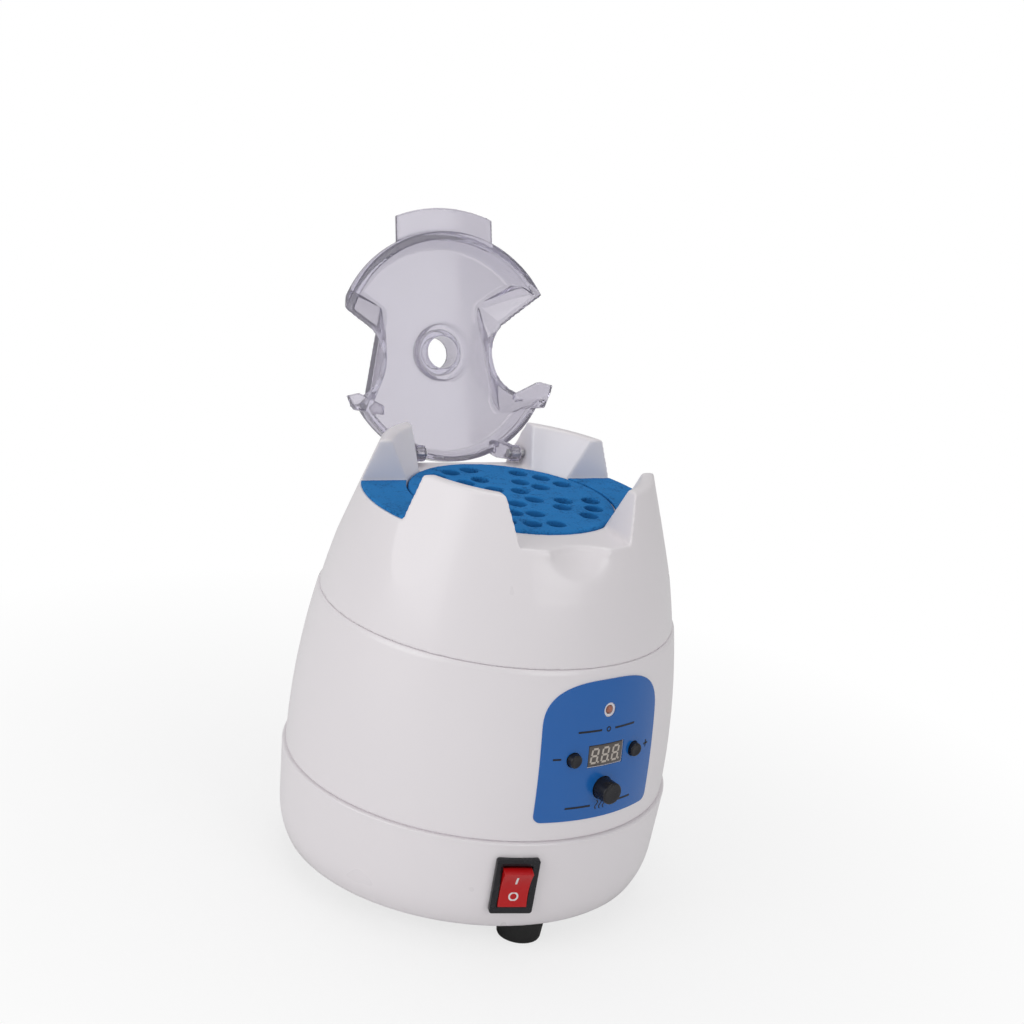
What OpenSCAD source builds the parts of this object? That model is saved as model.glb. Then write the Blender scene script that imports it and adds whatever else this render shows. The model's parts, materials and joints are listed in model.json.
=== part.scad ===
// Eyeglass frame warmer: a round three-storey housing on rubber feet. A fan in the
// base blows through a heater and a foam pad, and a clear hinged lid covers the pad.
// Millimetres. Origin: centre of the bottom plate's underside, on the housing's axis.
// +Z is up. The lid opens away from -Y. Azimuths count from -Y towards +X, in degrees.

/* [Housing] */
// Height of the base ring
base_h = 34.2; // [33:0.2:37]
// Outer radius of the base ring at its top edge
base_r = 70; // [69:0.25:74]
// How much narrower the base wall is at the floor than at the top
base_draft = 2.3; // [1.5:0.1:3]
// How far the bottom edge is rounded in
base_tuck = 3.1; // [2:0.1:3.4]
// Height of that rounding
base_tuck_h = 14; // [10:0.5:18]
// Height of the middle ring
band_h = 60.2; // [58:0.2:66]
// How far the base ring stands out beyond the middle ring
base_step = 1.2; // [0.6:0.1:2]
// Height above the base ring at which the middle ring is widest
band_peak = 8; // [4:0.5:12]
// Outer radius of the middle ring at its top
band_top_r = 63.8; // [63:0.2:65.5]
// How far the middle ring stands out beyond the dome
band_step = 0.6; // [0.4:0.1:1.2]
// Height of the dome with its four lugs
dome_h = 53.6; // [52:0.2:58]
// Outer radius of the lugs at their tops
dome_top_r = 48; // [47.4:0.2:50]
// Slope of the dome's side where it starts
dome_slope = 0.185; // [0.15:0.005:0.2]
// Wall thickness of the three rings
wall = 2.6; // [2:0.1:2.8]
// Height of the lip by which each ring stands inside the one below
lip_h = 4; // [3:0.5:6]
// Thickness of that lip
lip_t = 1.4; // [1.2:0.1:1.8]

/* [Crown] */
// Height of the lugs above the ledge round the pad
lug_h = 15.5; // [14.5:0.25:17]
// Width of a lug's top, from its inner to its outer edge
lug_top = 4.6; // [4:0.1:5]
// Half width of the front notch at the ledge
notch_half = 20.7; // [19.5:0.1:22]
// Half width of the back notch at the ledge
back_half = 22.5; // [22.2:0.1:23]
// Half width of the front and back notches at the lug tops
notch_half_top = 24.4; // [24:0.1:25.5]
// Half width of the side notches at the ledge
side_half = 18.9; // [18.2:0.1:20]
// Half width of the side notches at the lug tops
side_half_top = 18.6; // [18.2:0.1:20]
// Depth of the side notches below the ledge, which the pad's ears fill
side_drop = 0.4; // [0.2:0.1:1]
// Radius of the thumb scoop under the lid's tab
scoop_r = 20; // [16:0.5:22]
// Height of the scoop's centre above the ledge
scoop_up = 8.5; // [7:0.25:10]
// How far the scoop cuts into the ledge's outer edge
scoop_in = 5.5; // [3:0.25:5.5]
// Turn of the flat facets beside the side notches
facet_turn = 61; // [59:0.5:64]
// Lean of those facets
facet_lean = 17.8; // [16:0.2:19]
// Azimuth of each facet's ridge, counted from the front or the back
facet_az = 56; // [54:0.5:58]

/* [Pad] */
// Radius of the foam pad
pad_r = 36.6; // [35:0.2:37]
// Thickness of the foam pad
pad_t = 8; // [6.5:0.25:9]
// Height of the pad's top above the ledge
pad_proud = 1; // [0.6:0.1:1.6]
// Gap between the pad and its well
pad_gap = 0.3; // [0.2:0.05:0.5]
// Radius of the pad's holes
pad_hole_r = 3.4; // [2.6:0.1:3.5]
// Number of hole clusters
pad_clusters = 5; // [3:1:5]
// Azimuth of the first cluster
pad_first = 60; // [48:1:72]
// Distance of each cluster's first hole from the middle
pad_hole_from = 8; // [7.4:0.1:9]
// Distance from one row of a cluster to the next
pad_hole_step = 10.5; // [9:0.1:11]
// How far the pad's ears stay inside the housing's outline at the ledge
ear_inset = 0.5; // [0.4:0.1:1.5]
// Thickness of the perforated plate under the pad
diffuser_t = 1.5; // [1:0.1:2]

/* [Lid] */
// Outer radius of the lid's rim at the front and sides
lid_r = 44.5; // [44:0.1:45.5]
// Inner radius of that rim
rim_in = 41; // [40:0.1:41.4]
// Height of the rim
rim_h = 5; // [4:0.1:6]
// Outer radius of the lid at the back, between the hinge arms
lid_back_r = 41.2; // [40.8:0.1:41.4]
// How far behind the middle the wide rim ends
rim_end = 21; // [18:0.5:22]
// Outer radius of the lid's plate
lid_plate_r = 41.3; // [40.4:0.1:42]
// Height of the lid from the rim's underside to the top of its plate
lid_h = 10; // [9:0.2:10.4]
// Thickness of the lid's plate and walls
lid_t = 2; // [1.6:0.1:2.2]
// Reach of the front tab from the lid's middle
tab_reach = 53.3; // [51:0.2:55]
// Half width of the front tab
tab_half = 19.5; // [16:0.25:20]
// Thickness of the front tab
tab_t = 2; // [1.6:0.1:2.4]
// Radius of the hole in the lid's middle
lid_hole_r = 6; // [4:0.1:6.4]
// Outer radius of the collar round that hole
collar_r = 8.2; // [7.6:0.1:9]
// How far the collar stands above the lid
collar_h = 7; // [3:0.25:8]
// Radius of the step under the lid, round the hole
lid_step_r = 10.5; // [9.6:0.1:11]
// Radius of the side notches' round inner ends at the rim
lid_notch_r = 15; // [13:0.25:15.4]
// Distance of those notches' centres from the middle
lid_notch_x = 32.2; // [32:0.2:34]
// How much further out the left notch lies, at the rim
lid_left_out = 10.5; // [8:0.5:11]
// How much further out the left notch lies, at the plate
lid_left_plate_out = 8; // [6:0.5:9]
// How much nearer to the hinge the left notch lies
lid_left_back = 2.5; // [1.5:0.25:3]
// Gap between the closed lid and the lugs
lid_gap = 0.5; // [0.4:0.05:0.8]
// Distance of the hinge axis behind the housing's axis
hinge_back = 38.5; // [38.2:0.1:38.8]
// Height of the hinge axis above the ledge
hinge_up = 4; // [3.8:0.1:4.4]
// Angle from closed to open
open_angle = 110; // [104:1:110]
// Radius of the steel hinge pins
pin_r = 1.5; // [1.2:0.05:1.7]
// Distance from the middle to each hinge arm's centre
arm_x = 19.2; // [18.8:0.1:19.6]
// Thickness of a hinge arm
arm_t = 3.5; // [3:0.1:4]

/* [Control panel] */
// Azimuth of the panel's centre
panel_az = 11.6; // [8:0.2:15]
// Width of the blue panel, along its front
label_w = 49.6; // [46:0.2:52]
// Height of the blue panel
label_h = 49; // [47:0.25:50]
// Height of the panel's lower edge above the base ring
label_up = 7.4; // [6:0.1:8]
// Thickness of the panel sheet
label_t = 0.4; // [0.3:0.05:0.6]
// Height of the indicator light above the panel's lower edge
led_up = 38.4; // [36:0.2:40]
// Height of the display above the panel's lower edge
display_up = 22.8; // [21:0.2:24]
// Width of the display window
display_w = 14.6; // [13:0.2:16]
// Height of the display window
display_h = 7.2; // [6:0.1:8]
// Distance of the plus and minus buttons from the panel's middle
step_x = 13.2; // [12.6:0.1:14.5]
// Height of the plus and minus buttons above the panel's lower edge
step_up = 22.3; // [20:0.1:23]
// Radius of the plus and minus buttons
step_r = 2.4; // [2:0.1:2.8]
// How far the plus and minus buttons stand out
step_out = 1.9; // [1.6:0.1:2.4]
// Travel of the plus and minus buttons
step_travel = 0.9; // [0.6:0.1:1.1]
// Height of the heating button above the panel's lower edge
heat_up = 10.8; // [10:0.1:12]
// Radius of the heating button
heat_r = 3.9; // [3.4:0.1:4.4]
// How far the heating button stands out
heat_out = 5.6; // [4.5:0.1:6.5]
// Travel of the heating button
heat_travel = 1.2; // [0.8:0.1:1.3]
// Gap round each button in the housing's holes
button_gap = 0.3; // [0.2:0.05:0.4]

/* [Power switch] */
// Azimuth of the rocker switch
switch_az = -12; // [-15:0.5:-10]
// Height of the rocker switch's centre
switch_z = 18.6; // [18:0.1:19.5]
// Width of the switch's frame
bezel_w = 15; // [14.6:0.1:16]
// Height of the switch's frame
bezel_h = 21; // [20.6:0.1:22]
// Thickness of that frame
bezel_t = 2; // [1.6:0.1:2.4]
// Width of the rocker
rocker_w = 10; // [9.4:0.1:10.2]
// Height of the rocker
rocker_h = 14.4; // [13.4:0.1:14.6]
// Angle of the rocker to each side of level
rocker_tilt = 9; // [6:0.5:10]
// Length of the switch's terminals behind its body
terminal_len = 7; // [5:0.5:9]
// Gap between those terminals and the fan
terminal_gap = 1; // [0.8:0.1:4]

/* [Power inlet] */
// Width of the inlet's flange at the back
inlet_w = 31; // [29:0.5:32]
// Height of the inlet's flange
inlet_h = 23; // [21.8:0.2:24]
// Depth of the inlet behind the wall
inlet_depth = 16; // [15:0.5:18]

/* [Feet and bottom] */
// Height of the rubber feet
foot_h = 8; // [6:0.25:10]
// Radius of the feet
foot_r = 8.4; // [7:0.1:8.8]
// How far inside the bottom plate's edge the feet's centres are
foot_inset = 4; // [3.6:0.1:4.6]
// Number of feet
foot_count = 3; // [3:1:5]
// Azimuth of the first foot
foot_az = -3; // [-6:1:3]
// Thickness of the bottom plate
plate_t = 2.5; // [2:0.1:3]
// Width of the base ring's rim round the bottom plate
base_rim = 4.3; // [4:0.1:4.8]
// Width of the air slots in the bottom plate
slot_w = 3; // [2:0.25:3.5]

/* [Fan and heater] */
// Side of the square fan frame
fan_side = 80; // [78:0.5:82]
// Height of the fan frame
fan_h = 25; // [24:0.25:26]
// Least wall between the fan's bore and its sides
fan_rim = 2; // [1.8:0.1:3]
// Number of fan blades
blade_count = 7; // [5:1:9]
// Gap between the blade tips and the bore
blade_gap = 1.2; // [0.8:0.1:2]
// Radius of the impeller's hub
hub_r = 17; // [16:0.25:18]
// Radius of the motor shaft
shaft_r = 1.5; // [1.2:0.05:2]
// Height of the posts that carry the fan
post_h = 4; // [3:0.25:5]
// Outer radius of the air duct
duct_r = 35.6; // [34.4:0.1:36]
// Wall thickness of the duct
duct_t = 1.6; // [1.2:0.1:2]
// Height of the heater above the fan
heater_up = 22; // [18:0.5:30]
// Side of the square heater core
heater_side = 42; // [38:0.5:43]
// Height of the heater core
heater_h = 15; // [12:0.5:18]
// Number of fins on the heater core
fin_count = 12; // [8:1:14]

/* [Hidden] */

$fn = 96;
eps = 0.01;
big = 200;
profile_steps = 20;
running_gap = 0.05;     // radial gap of a pin or shaft in its bore
seat_gap = 0.3;         // gap between pieces that only lie close to each other

band_z = base_h;
dome_z = base_h + band_h;
crown_top = dome_z + dome_h;
ledge_z = crown_top - lug_h;
pad_top = ledge_z + pad_proud;
pad_bottom = pad_top - pad_t;
diffuser_z = pad_bottom - diffuser_t;
well_r = pad_r + pad_gap;
well_floor_t = 3;
well_floor_z = diffuser_z - well_floor_t;
well_floor_r = duct_r - duct_t;

band_r = base_r - base_step;
dome_r0 = band_top_r - band_step;

fan_z = plate_t + post_h;
fan_bore_r = fan_side / 2 - fan_rim;
fan_top = fan_z + fan_h;
duct_flange_t = 2;
duct_z = fan_top;
duct_top = well_floor_z;

label_z = base_h + label_up;
led_z = label_z + led_up;
display_z = label_z + display_up;
step_z = label_z + step_up;
heat_z = label_z + heat_up;

// ---------- outlines of the three rings ----------
function base_at(z) = base_r - base_draft * (1 - z / base_h)
    - base_tuck * pow(max(0, 1 - z / base_tuck_h), 2.5);
function band_at(z) = let(peak = band_z + band_peak)
    band_r - (band_r - band_top_r) * pow((z - peak) / (dome_z - peak), 2);
function dome_at(z) = let(up = z - dome_z)
    dome_r0 - dome_slope * up - (dome_r0 - dome_top_r - dome_slope * dome_h) * pow(up / dome_h, 2);
function steps(from, to, count) = [for (i = [0:count]) from + (to - from) * i / count];
// An arc from one angle to another, as points
function arc_points(centre, r, from, to, count) =
    [for (a = steps(from, to, count)) centre + r * [cos(a), sin(a)]];

// ---------- helpers ----------
// Turns what is built facing -Y to an azimuth
module facing(az) rotate([0, 0, az]) children();
// A round rod that runs outwards, from one distance to another
module rod(from, to, r) translate([0, -from, 0]) rotate([90, 0, 0]) cylinder(h = to - from, r = r);
// A block that runs outwards, centred on its width and height
module block(w, h, from, to) translate([-w / 2, -to, -h / 2]) cube([w, to - from, h]);
// A plate with round corners that faces outwards
module rounded_block(w, h, r, from, to)
    translate([0, -from, 0]) rotate([90, 0, 0]) linear_extrude(to - from)
        rounded_rectangle(w, h, r);
module rounded_rectangle(w, h, r) {
    square([w - 2 * r, h], center = true);
    square([w, h - 2 * r], center = true);
    for (x = [-1, 1], y = [-1, 1])
        translate([x * (w / 2 - r), y * (h / 2 - r)]) circle(r, $fn = 24);
}
module ring(r_out, r_in, h) difference() {
    cylinder(h = h, r = r_out);
    translate([0, 0, -eps]) cylinder(h = h + 2 * eps, r = r_in);
}
// A vertical prism with a trapezoid outline, along Y
module trapezoid_y(z_low, half_low, z_high, half_high, y_from, y_to)
    translate([0, y_to, 0]) rotate([90, 0, 0]) linear_extrude(y_to - y_from)
        polygon([[-half_low, z_low], [half_low, z_low], [half_high, z_high],
            [half_high, z_high + 10], [-half_high, z_high + 10], [-half_high, z_high]]);

// ---------- housing ----------
flange_t = 3;
flange_w = 8;
plate_gap = 0.3;
plate_r = base_at(0) - base_rim - plate_gap;
flange_in = plate_r - flange_w;
foot_ring = plate_r - foot_inset;
edge = 0.5;

module base_shell() color("white") difference() {
    rotate_extrude() polygon(concat(
        [[plate_r + plate_gap, 0]],
        [for (z = steps(0, base_h - edge, profile_steps)) [base_at(z), z]],
        [[base_r - edge, base_h], [base_r - wall, base_h]],
        [for (z = steps(base_h - edge, plate_t + flange_t, 6)) [base_at(z) - wall, z]],
        [[flange_in, plate_t + flange_t], [flange_in, plate_t], [plate_r + plate_gap, plate_t]]));
    foot_places() cylinder(h = big, r = screw_r);
    plate_screw_places() cylinder(h = big, r = screw_r);
    fan_screw_places() translate([0, 0, -1]) cylinder(h = fan_h, r = fan_post_r + seat_gap);
    switch_seat() block(body_w + 2 * seat_gap, body_h + 2 * seat_gap, base_r - 8, base_r + 5);
    // flat seat for the switch's frame
    switch_seat() block(bezel_w + 0.4, bezel_h + 0.4, bezel_back, base_r + 5);
    facing(180) translate([0, 0, inlet_z])
        block(inlet_body_w + 2 * seat_gap, inlet_body_h + 2 * seat_gap, base_r - 12, base_r + 5);
    facing(180) translate([0, 0, inlet_z]) block(inlet_w + 0.4, inlet_h + 0.4, inlet_back, base_r + 5);
    facing(180) inlet_screw_places() rod(base_r - 12, base_r + 5, inlet_screw_r);
}

// The lip under a ring, which stands inside the ring below
module lip(z, inside_r) translate([0, 0, z - lip_h])
    ring(inside_r - lip_gap, inside_r - lip_gap - lip_t, lip_h + 1);
lip_gap = 0.2;

board_screw_r = 1.2;
board_post_r = 3;
board_w = 44;
board_h = 42;
board_t = 1.6;
board_z = label_z + label_h / 2 - 1.5;
board_wall_gap = 2.2;   // gap between a board's corners and the wall
board_corner_r = min(band_at(board_z - board_h / 2), band_at(board_z + board_h / 2)) - wall - board_wall_gap;
cap_flange = 0.8;       // how far a button's flange stands out round its cap
cap_flange_t = 0.9;
cap_gap = 0.65;         // gap between the outer buttons' flanges and the wall
push_t = 3.6;           // thickness of a push switch
push_room = 1.7;        // gap between a push switch and a button's flange
cap_from = sqrt(pow(band_at(step_z) - wall, 2) - pow(step_x + step_r + cap_flange, 2))
    - cap_gap - cap_flange_t;
// distance of the control board's face from the axis: its corners and the buttons fit inside the wall
board_face = min(sqrt(pow(board_corner_r, 2) - pow(board_w / 2, 2)), cap_from - push_room - push_t);

module board_places() for (x = [-1, 1], z = [-1, 1])
    translate([x * (board_w / 2 - 4), 0, board_z + z * (board_h / 2 - 4)]) children();

module band_space(inset) rotate_extrude() polygon(concat([[0, band_z]],
    [for (z = steps(band_z, dome_z, profile_steps)) [band_at(z) - inset, z]], [[0, dome_z]]));

module middle_band() color("white") difference() {
    union() {
        rotate_extrude() polygon(concat(
            [for (z = steps(band_z, dome_z - edge, profile_steps)) [band_at(z), z]],
            [[band_top_r - edge, dome_z], [band_top_r - wall, dome_z]],
            [for (z = steps(dome_z - edge, band_z, profile_steps)) [band_at(z) - wall, z]]));
        lip(band_z, base_at(base_h - lip_h) - wall);
        intersection() {
            for (az = [panel_az, 180]) facing(az) board_places()
                rod(board_face, band_r + 5, board_post_r);
            band_space(wall / 2);
        }
    }
    for (az = [panel_az, 180]) facing(az) board_places()
        rod(board_face - 1, board_face + 5, board_screw_r);
    facing(panel_az) panel_holes(button_gap);
}

// The holes that the panel's parts reach through
module panel_holes(gap) {
    translate([0, 0, led_z]) rod(board_face + 3, base_r + 5, led_r + gap);
    translate([0, 0, display_z])
        block(display_w + 2 * window_gap, display_h + 2 * window_gap, board_face + 3, base_r + 5);
    for (side = [-1, 1]) translate([side * step_x, 0, step_z])
        rod(board_face + 3, base_r + 5, step_r + gap);
    translate([0, 0, heat_z]) rod(board_face + 3, base_r + 5, heat_r + gap);
}

// The dome: an outer shell that ends in four lugs, with the pad's well inside
lug_in = dome_top_r - lug_top;
lug_round = 1.6;
well_wall = 2.4;
hollow_top = crown_top - 5;
// underside of the solid ledge, low enough to back the thumb scoop
ledge_under = ledge_z - side_drop - 3 * wall - 0.8;
module crown_solid() rotate_extrude() polygon(concat(
    [for (z = steps(dome_z, crown_top - lug_round, profile_steps)) [dome_at(z), z]],
    arc_points([dome_at(crown_top - lug_round) - lug_round, crown_top - lug_round],
        lug_round, 10, 80, 5),
    arc_points([lug_in + lug_round, crown_top - lug_round], lug_round, 100, 165, 5),
    [[well_r, ledge_z], [well_r, diffuser_z], [well_floor_r, diffuser_z],
        [well_floor_r, well_floor_z], [well_r + well_wall, well_floor_z],
        [well_r + well_wall, ledge_under]],
    [for (z = steps(ledge_under, dome_z, profile_steps)) [dome_at(z) - wall, z]]));

// The hollow inside each lug, between the outer wall and the inner face
module lug_hollow() intersection() {
    rotate_extrude() polygon(concat(
        [for (z = steps(ledge_under - 1, hollow_top, 8)) [dome_at(z) - wall - 0.4, z]],
        [[lug_in + 1.2, hollow_top], [well_r + well_wall + 0.6, ledge_z - 1],
            [well_r + well_wall + 0.6, ledge_under - 1]]));
    for (side = [-1, 1], end = [-1, 1]) linear_extrude(big)
        polygon([[side * (notch_half_top + wall), end * big], [side * big, end * big],
            [side * big, end * (side_half_top + wall)],
            [side * (notch_half_top + wall), end * (side_half_top + wall)]]);
}

deep_drop = 5.2;        // how far the back notch is cut below the ledge, outside the hinge
deep_from = hinge_back + 2.2;
deep_half = back_half - 0.4;
facet_r = dome_at(crown_top);

module top_dome() color("white") difference() {
    union() {
        crown_solid();
        lip(dome_z, band_top_r - wall);
    }
    lug_hollow();
    // front and back notches, side notches
    trapezoid_y(ledge_z, notch_half, crown_top, notch_half_top, -big, -lug_in / 2);
    trapezoid_y(ledge_z, back_half, crown_top, notch_half_top, lug_in / 2, big);
    translate([-deep_half, deep_from, ledge_z - deep_drop]) cube([2 * deep_half, big, big]);
    rotate([0, 0, 90])
        trapezoid_y(ledge_z - side_drop, side_half, crown_top, side_half_top, -big, -well_r / 2);
    rotate([0, 0, 90])
        trapezoid_y(ledge_z - side_drop, side_half, crown_top, side_half_top, well_r / 2, big);
    // thumb scoop
    translate([0, scoop_in - scoop_reach - dome_at(ledge_z), ledge_z + scoop_up]) sphere(scoop_r);
    // flat facets beside the side notches
    for (x = [0, 1], y = [0, 1]) mirror([x, 0, 0]) mirror([0, y, 0])
        translate([facet_r * sin(facet_az), -facet_r * cos(facet_az), crown_top])
            rotate([0, 0, facet_turn]) rotate([-facet_lean, 0, 0])
                translate([-big / 2, -big, -big / 2]) cube([big, big, big]);
    for (side = [0, 1]) hinge_line() mirror([0, 0, side])
        translate([0, 0, back_half - 2]) cylinder(h = pin_to - back_half + 2, r = pin_r, $fn = 48);
}
scoop_reach = sqrt(scoop_r * scoop_r - scoop_up * scoop_up);

// ---------- bottom ----------
screw_r = 1.5;
screw_head_r = 3;
screw_head_h = 1.8;
screw_len = plate_t + flange_t - 0.4;
foot_recess = 3;
slot_from = 16;
slot_pitch = slot_w + 3.5;
slot_rows = 4;
spoke_w = 4;

module foot_places() for (i = [0:foot_count - 1]) facing(foot_az + 360 * i / foot_count)
    translate([0, -foot_ring, 0]) children();
module plate_screw_places() for (i = [0:foot_count - 1])
    facing(foot_az + 360 * (i + 0.5) / foot_count) translate([0, -foot_ring, 0]) children();
module fan_screw_places() for (x = [-1, 1], y = [-1, 1])
    translate([x * fan_pitch / 2, y * fan_pitch / 2, 0]) children();
fan_pitch = fan_side - 8.5;
fan_hole_r = 2;
fan_post_r = 4;

module bottom_plate() color("whitesmoke") difference() {
    union() {
        cylinder(h = plate_t, r = plate_r);
        fan_screw_places() cylinder(h = plate_t + post_h, r = fan_post_r);
    }
    fan_screw_places() translate([0, 0, plate_t]) cylinder(h = post_h + 1, r = fan_hole_r);
    foot_places() translate([0, 0, -1]) cylinder(h = plate_t + 2, r = screw_r + 0.2);
    plate_screw_places() translate([0, 0, -1]) cylinder(h = plate_t + 2, r = screw_r + 0.2);
    // rings of air slots, crossed by spokes
    difference() {
        for (i = [0:slot_rows - 1]) translate([0, 0, -1])
            ring(slot_from + i * slot_pitch + slot_w, slot_from + i * slot_pitch, plate_t + 2);
        for (a = [0:45:135]) rotate([0, 0, a]) translate([-big / 2, -spoke_w / 2, -2])
            cube([big, spoke_w, plate_t + 4]);
    }
}

module rubber_feet() color("black") foot_places() difference() {
    translate([0, 0, -foot_h]) cylinder(h = foot_h, r1 = foot_r - 0.8, r2 = foot_r);
    translate([0, 0, -foot_h - 1]) cylinder(h = foot_recess + 1, r = screw_head_r + 0.4);
    translate([0, 0, -foot_h]) cylinder(h = foot_h + 1, r = screw_r + 0.2);
}
module screw(head_at, length) {
    translate([0, 0, head_at - screw_head_h]) cylinder(h = screw_head_h, r = screw_head_r, $fn = 32);
    translate([0, 0, head_at - eps]) cylinder(h = length + eps, r = screw_r, $fn = 32);
}
module foot_screws() color("silver") foot_places()
    screw(foot_recess - foot_h, foot_h - foot_recess + screw_len);
module plate_screws() color("silver") plate_screw_places() screw(0, screw_len);

// ---------- fan ----------
motor_r = 14;
motor_floor = 2.4;
hub_wall = 1.6;
hub_gap = 2;             // gap under the impeller's rim
blade_t = 1.8;
blade_pitch = 38;
blade_h = 16;
shaft_end = 3;

module fan_frame() color("#303236") translate([0, 0, fan_z]) difference() {
    union() {
        difference() {
            linear_extrude(fan_h) rounded_rectangle(fan_side, fan_side, 5);
            translate([0, 0, -1]) cylinder(h = fan_h + 2, r = fan_bore_r);
        }
        cylinder(h = motor_floor, r = motor_r + 2);
        for (a = [45:90:315]) rotate([0, 0, a]) translate([motor_r, -2, 0])
            cube([fan_bore_r - motor_r + 1, 4, motor_floor]);
    }
    fan_screw_places() translate([0, 0, -1]) cylinder(h = fan_h + 2, r = fan_hole_r + 0.2);
}
module fan_screws() color("silver") fan_screw_places() {
    translate([0, 0, fan_top]) cylinder(h = 1.6, r = 3.4, $fn = 32);
    translate([0, 0, plate_t + 0.5]) cylinder(h = fan_top - plate_t - 0.4, r = fan_hole_r, $fn = 32);
}
hub_top_gap = 1;
hub_top = fan_z + fan_h - hub_top_gap;
motor_top = hub_top - hub_wall - 1.4;
module fan_motor() color("#8a6a3a") difference() {
    translate([0, 0, fan_z + motor_floor]) cylinder(h = motor_top - fan_z - motor_floor, r = motor_r);
    translate([0, 0, fan_z + motor_floor + shaft_end - running_gap])
        cylinder(h = fan_h, r = shaft_r + running_gap, $fn = 48);
}
module fan_impeller() color("#303236") {
    difference() {
        translate([0, 0, fan_z + motor_floor + hub_gap])
            cylinder(h = hub_top - fan_z - motor_floor - hub_gap, r = hub_r);
        translate([0, 0, fan_z + motor_floor + hub_gap - 1])
            cylinder(h = hub_top - fan_z - motor_floor - hub_gap - hub_wall + 1, r = hub_r - hub_wall);
    }
    translate([0, 0, fan_z + motor_floor + shaft_end])
        cylinder(h = hub_top - fan_z - motor_floor - shaft_end - eps, r = shaft_r, $fn = 48);
    intersection() {
        for (i = [0:blade_count - 1]) rotate([0, 0, 360 * i / blade_count])
            translate([hub_r - hub_wall / 2, 0, (fan_z + motor_floor + hub_gap + hub_top) / 2])
                rotate([blade_pitch, 0, 0]) translate([0, -blade_t / 2, -blade_h / 2])
                    cube([fan_bore_r, blade_t, blade_h]);
        translate([0, 0, fan_z + motor_floor + 0.8])
            cylinder(h = fan_h - motor_floor - 1.2, r = fan_bore_r - blade_gap);
    }
}

// ---------- heater and air path ----------
duct_in = duct_r - duct_t;
bracket_z = fan_top + heater_up;
bracket_t = 2;
bracket_gap = 0.3;
ledge_w = 2;
probe_z = duct_top - 12;
probe_r = 1.6;
module air_duct() color("#b9bcc0") difference() {
    union() {
        translate([0, 0, duct_z]) ring(duct_r, duct_in, duct_top - duct_z);
        translate([0, 0, duct_z]) ring(fan_bore_r + 0.8, duct_in, duct_flange_t);
        translate([0, 0, bracket_z - bracket_t]) ring(duct_r - eps, duct_in - ledge_w, bracket_t);
    }
    facing(90) translate([0, 0, probe_z]) rod(duct_in - 1, duct_r + 1, probe_r);
}
module heater_bracket() color("#c9b27c") translate([0, 0, bracket_z]) difference() {
    cylinder(h = bracket_t, r = duct_in - bracket_gap);
    translate([-heater_side / 2, -heater_side / 2, -1]) cube([heater_side, heater_side, bracket_t + 2]);
}
core_z = bracket_z - (heater_h - bracket_t) / 2;
core_frame = 2;
fin_t = 0.9;
module heater_core() color("#a8abb0") translate([0, 0, core_z]) {
    difference() {
        translate([-heater_side / 2, -heater_side / 2, 0]) cube([heater_side, heater_side, heater_h]);
        translate([core_frame - heater_side / 2, core_frame - heater_side / 2, -1])
            cube([heater_side - 2 * core_frame, heater_side - 2 * core_frame, heater_h + 2]);
    }
    for (i = [1:fin_count]) translate([
            core_frame - heater_side / 2 + (heater_side - 2 * core_frame) * i / (fin_count + 1) - fin_t / 2,
            core_frame / 2 - heater_side / 2, 1])
        cube([fin_t, heater_side - core_frame, heater_h - 2]);
    // the bar of heating stones across the fins
    translate([core_frame / 2 - heater_side / 2, -2, 1.5]) cube([heater_side - core_frame, 4, heater_h - 3]);
}
module heater_terminals() color("#d0a850") for (x = [-1, 1])
    translate([x * (heater_side / 2 - 5) - 2, -0.4, core_z + heater_h - 1]) cube([4, 0.8, 9]);
cutoff_r = 5;
module thermal_cutoff() color("#2c2c30") translate([0, heater_side / 2 + 5.6, bracket_z + bracket_t])
    cylinder(h = 5, r = cutoff_r - 0.4, $fn = 48);
module temperature_probe() color("#d8dce0") facing(90) translate([0, 0, probe_z]) {
    rod(duct_in - 9, duct_r + 3, probe_r - running_gap);
    rod(duct_r, duct_r + 2, probe_r + 1.6);
}
module diffuser_plate() color("#c4c8cc") translate([0, 0, diffuser_z]) difference() {
    cylinder(h = diffuser_t, r = pad_r);
    for (ring_r = [8:8:24], i = [0:ring_r / 8 * 6 - 1]) rotate([0, 0, 360 * i / (ring_r / 8 * 6)])
        translate([ring_r, 0, -1]) cylinder(h = diffuser_t + 2, r = 2.4, $fn = 24);
}

// ---------- pad ----------
ear_gap = 0.3;
ear_r = dome_at(ledge_z) - ear_inset;
// Clusters of 1, 2 and 3 holes, fanning out from the middle
module pad_holes() for (i = [0:pad_clusters - 1]) facing(pad_first + 360 * i / pad_clusters) {
    translate([0, -pad_hole_from, 0]) pad_hole();
    for (side = [-1, 1]) facing(12 * side) translate([0, -pad_hole_from - pad_hole_step, 0]) pad_hole();
    for (side = [-1:1]) facing(17.5 * side)
        translate([0, -pad_hole_from - 2 * pad_hole_step, 0]) pad_hole();
}
module pad_hole() translate([0, 0, pad_bottom - 1]) cylinder(h = pad_t + 2, r = pad_hole_r, $fn = 32);
module foam_pad() color("#2171b5") difference() {
    translate([0, 0, pad_bottom]) cylinder(h = pad_t, r = pad_r);
    pad_holes();
}
// The ears of the same foam that fill the side notches
module pad_ear(side) color("#2171b5") intersection() {
    translate([0, 0, ledge_z - side_drop]) ring(ear_r, well_r + ear_gap, side_drop + pad_proud - 0.2);
    translate([side > 0 ? 0 : -big, -side_half + ear_gap, 0]) cube([big, 2 * (side_half - ear_gap), big]);
}
module pad_ear_left() pad_ear(-1);
module pad_ear_right() pad_ear(1);

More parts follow.
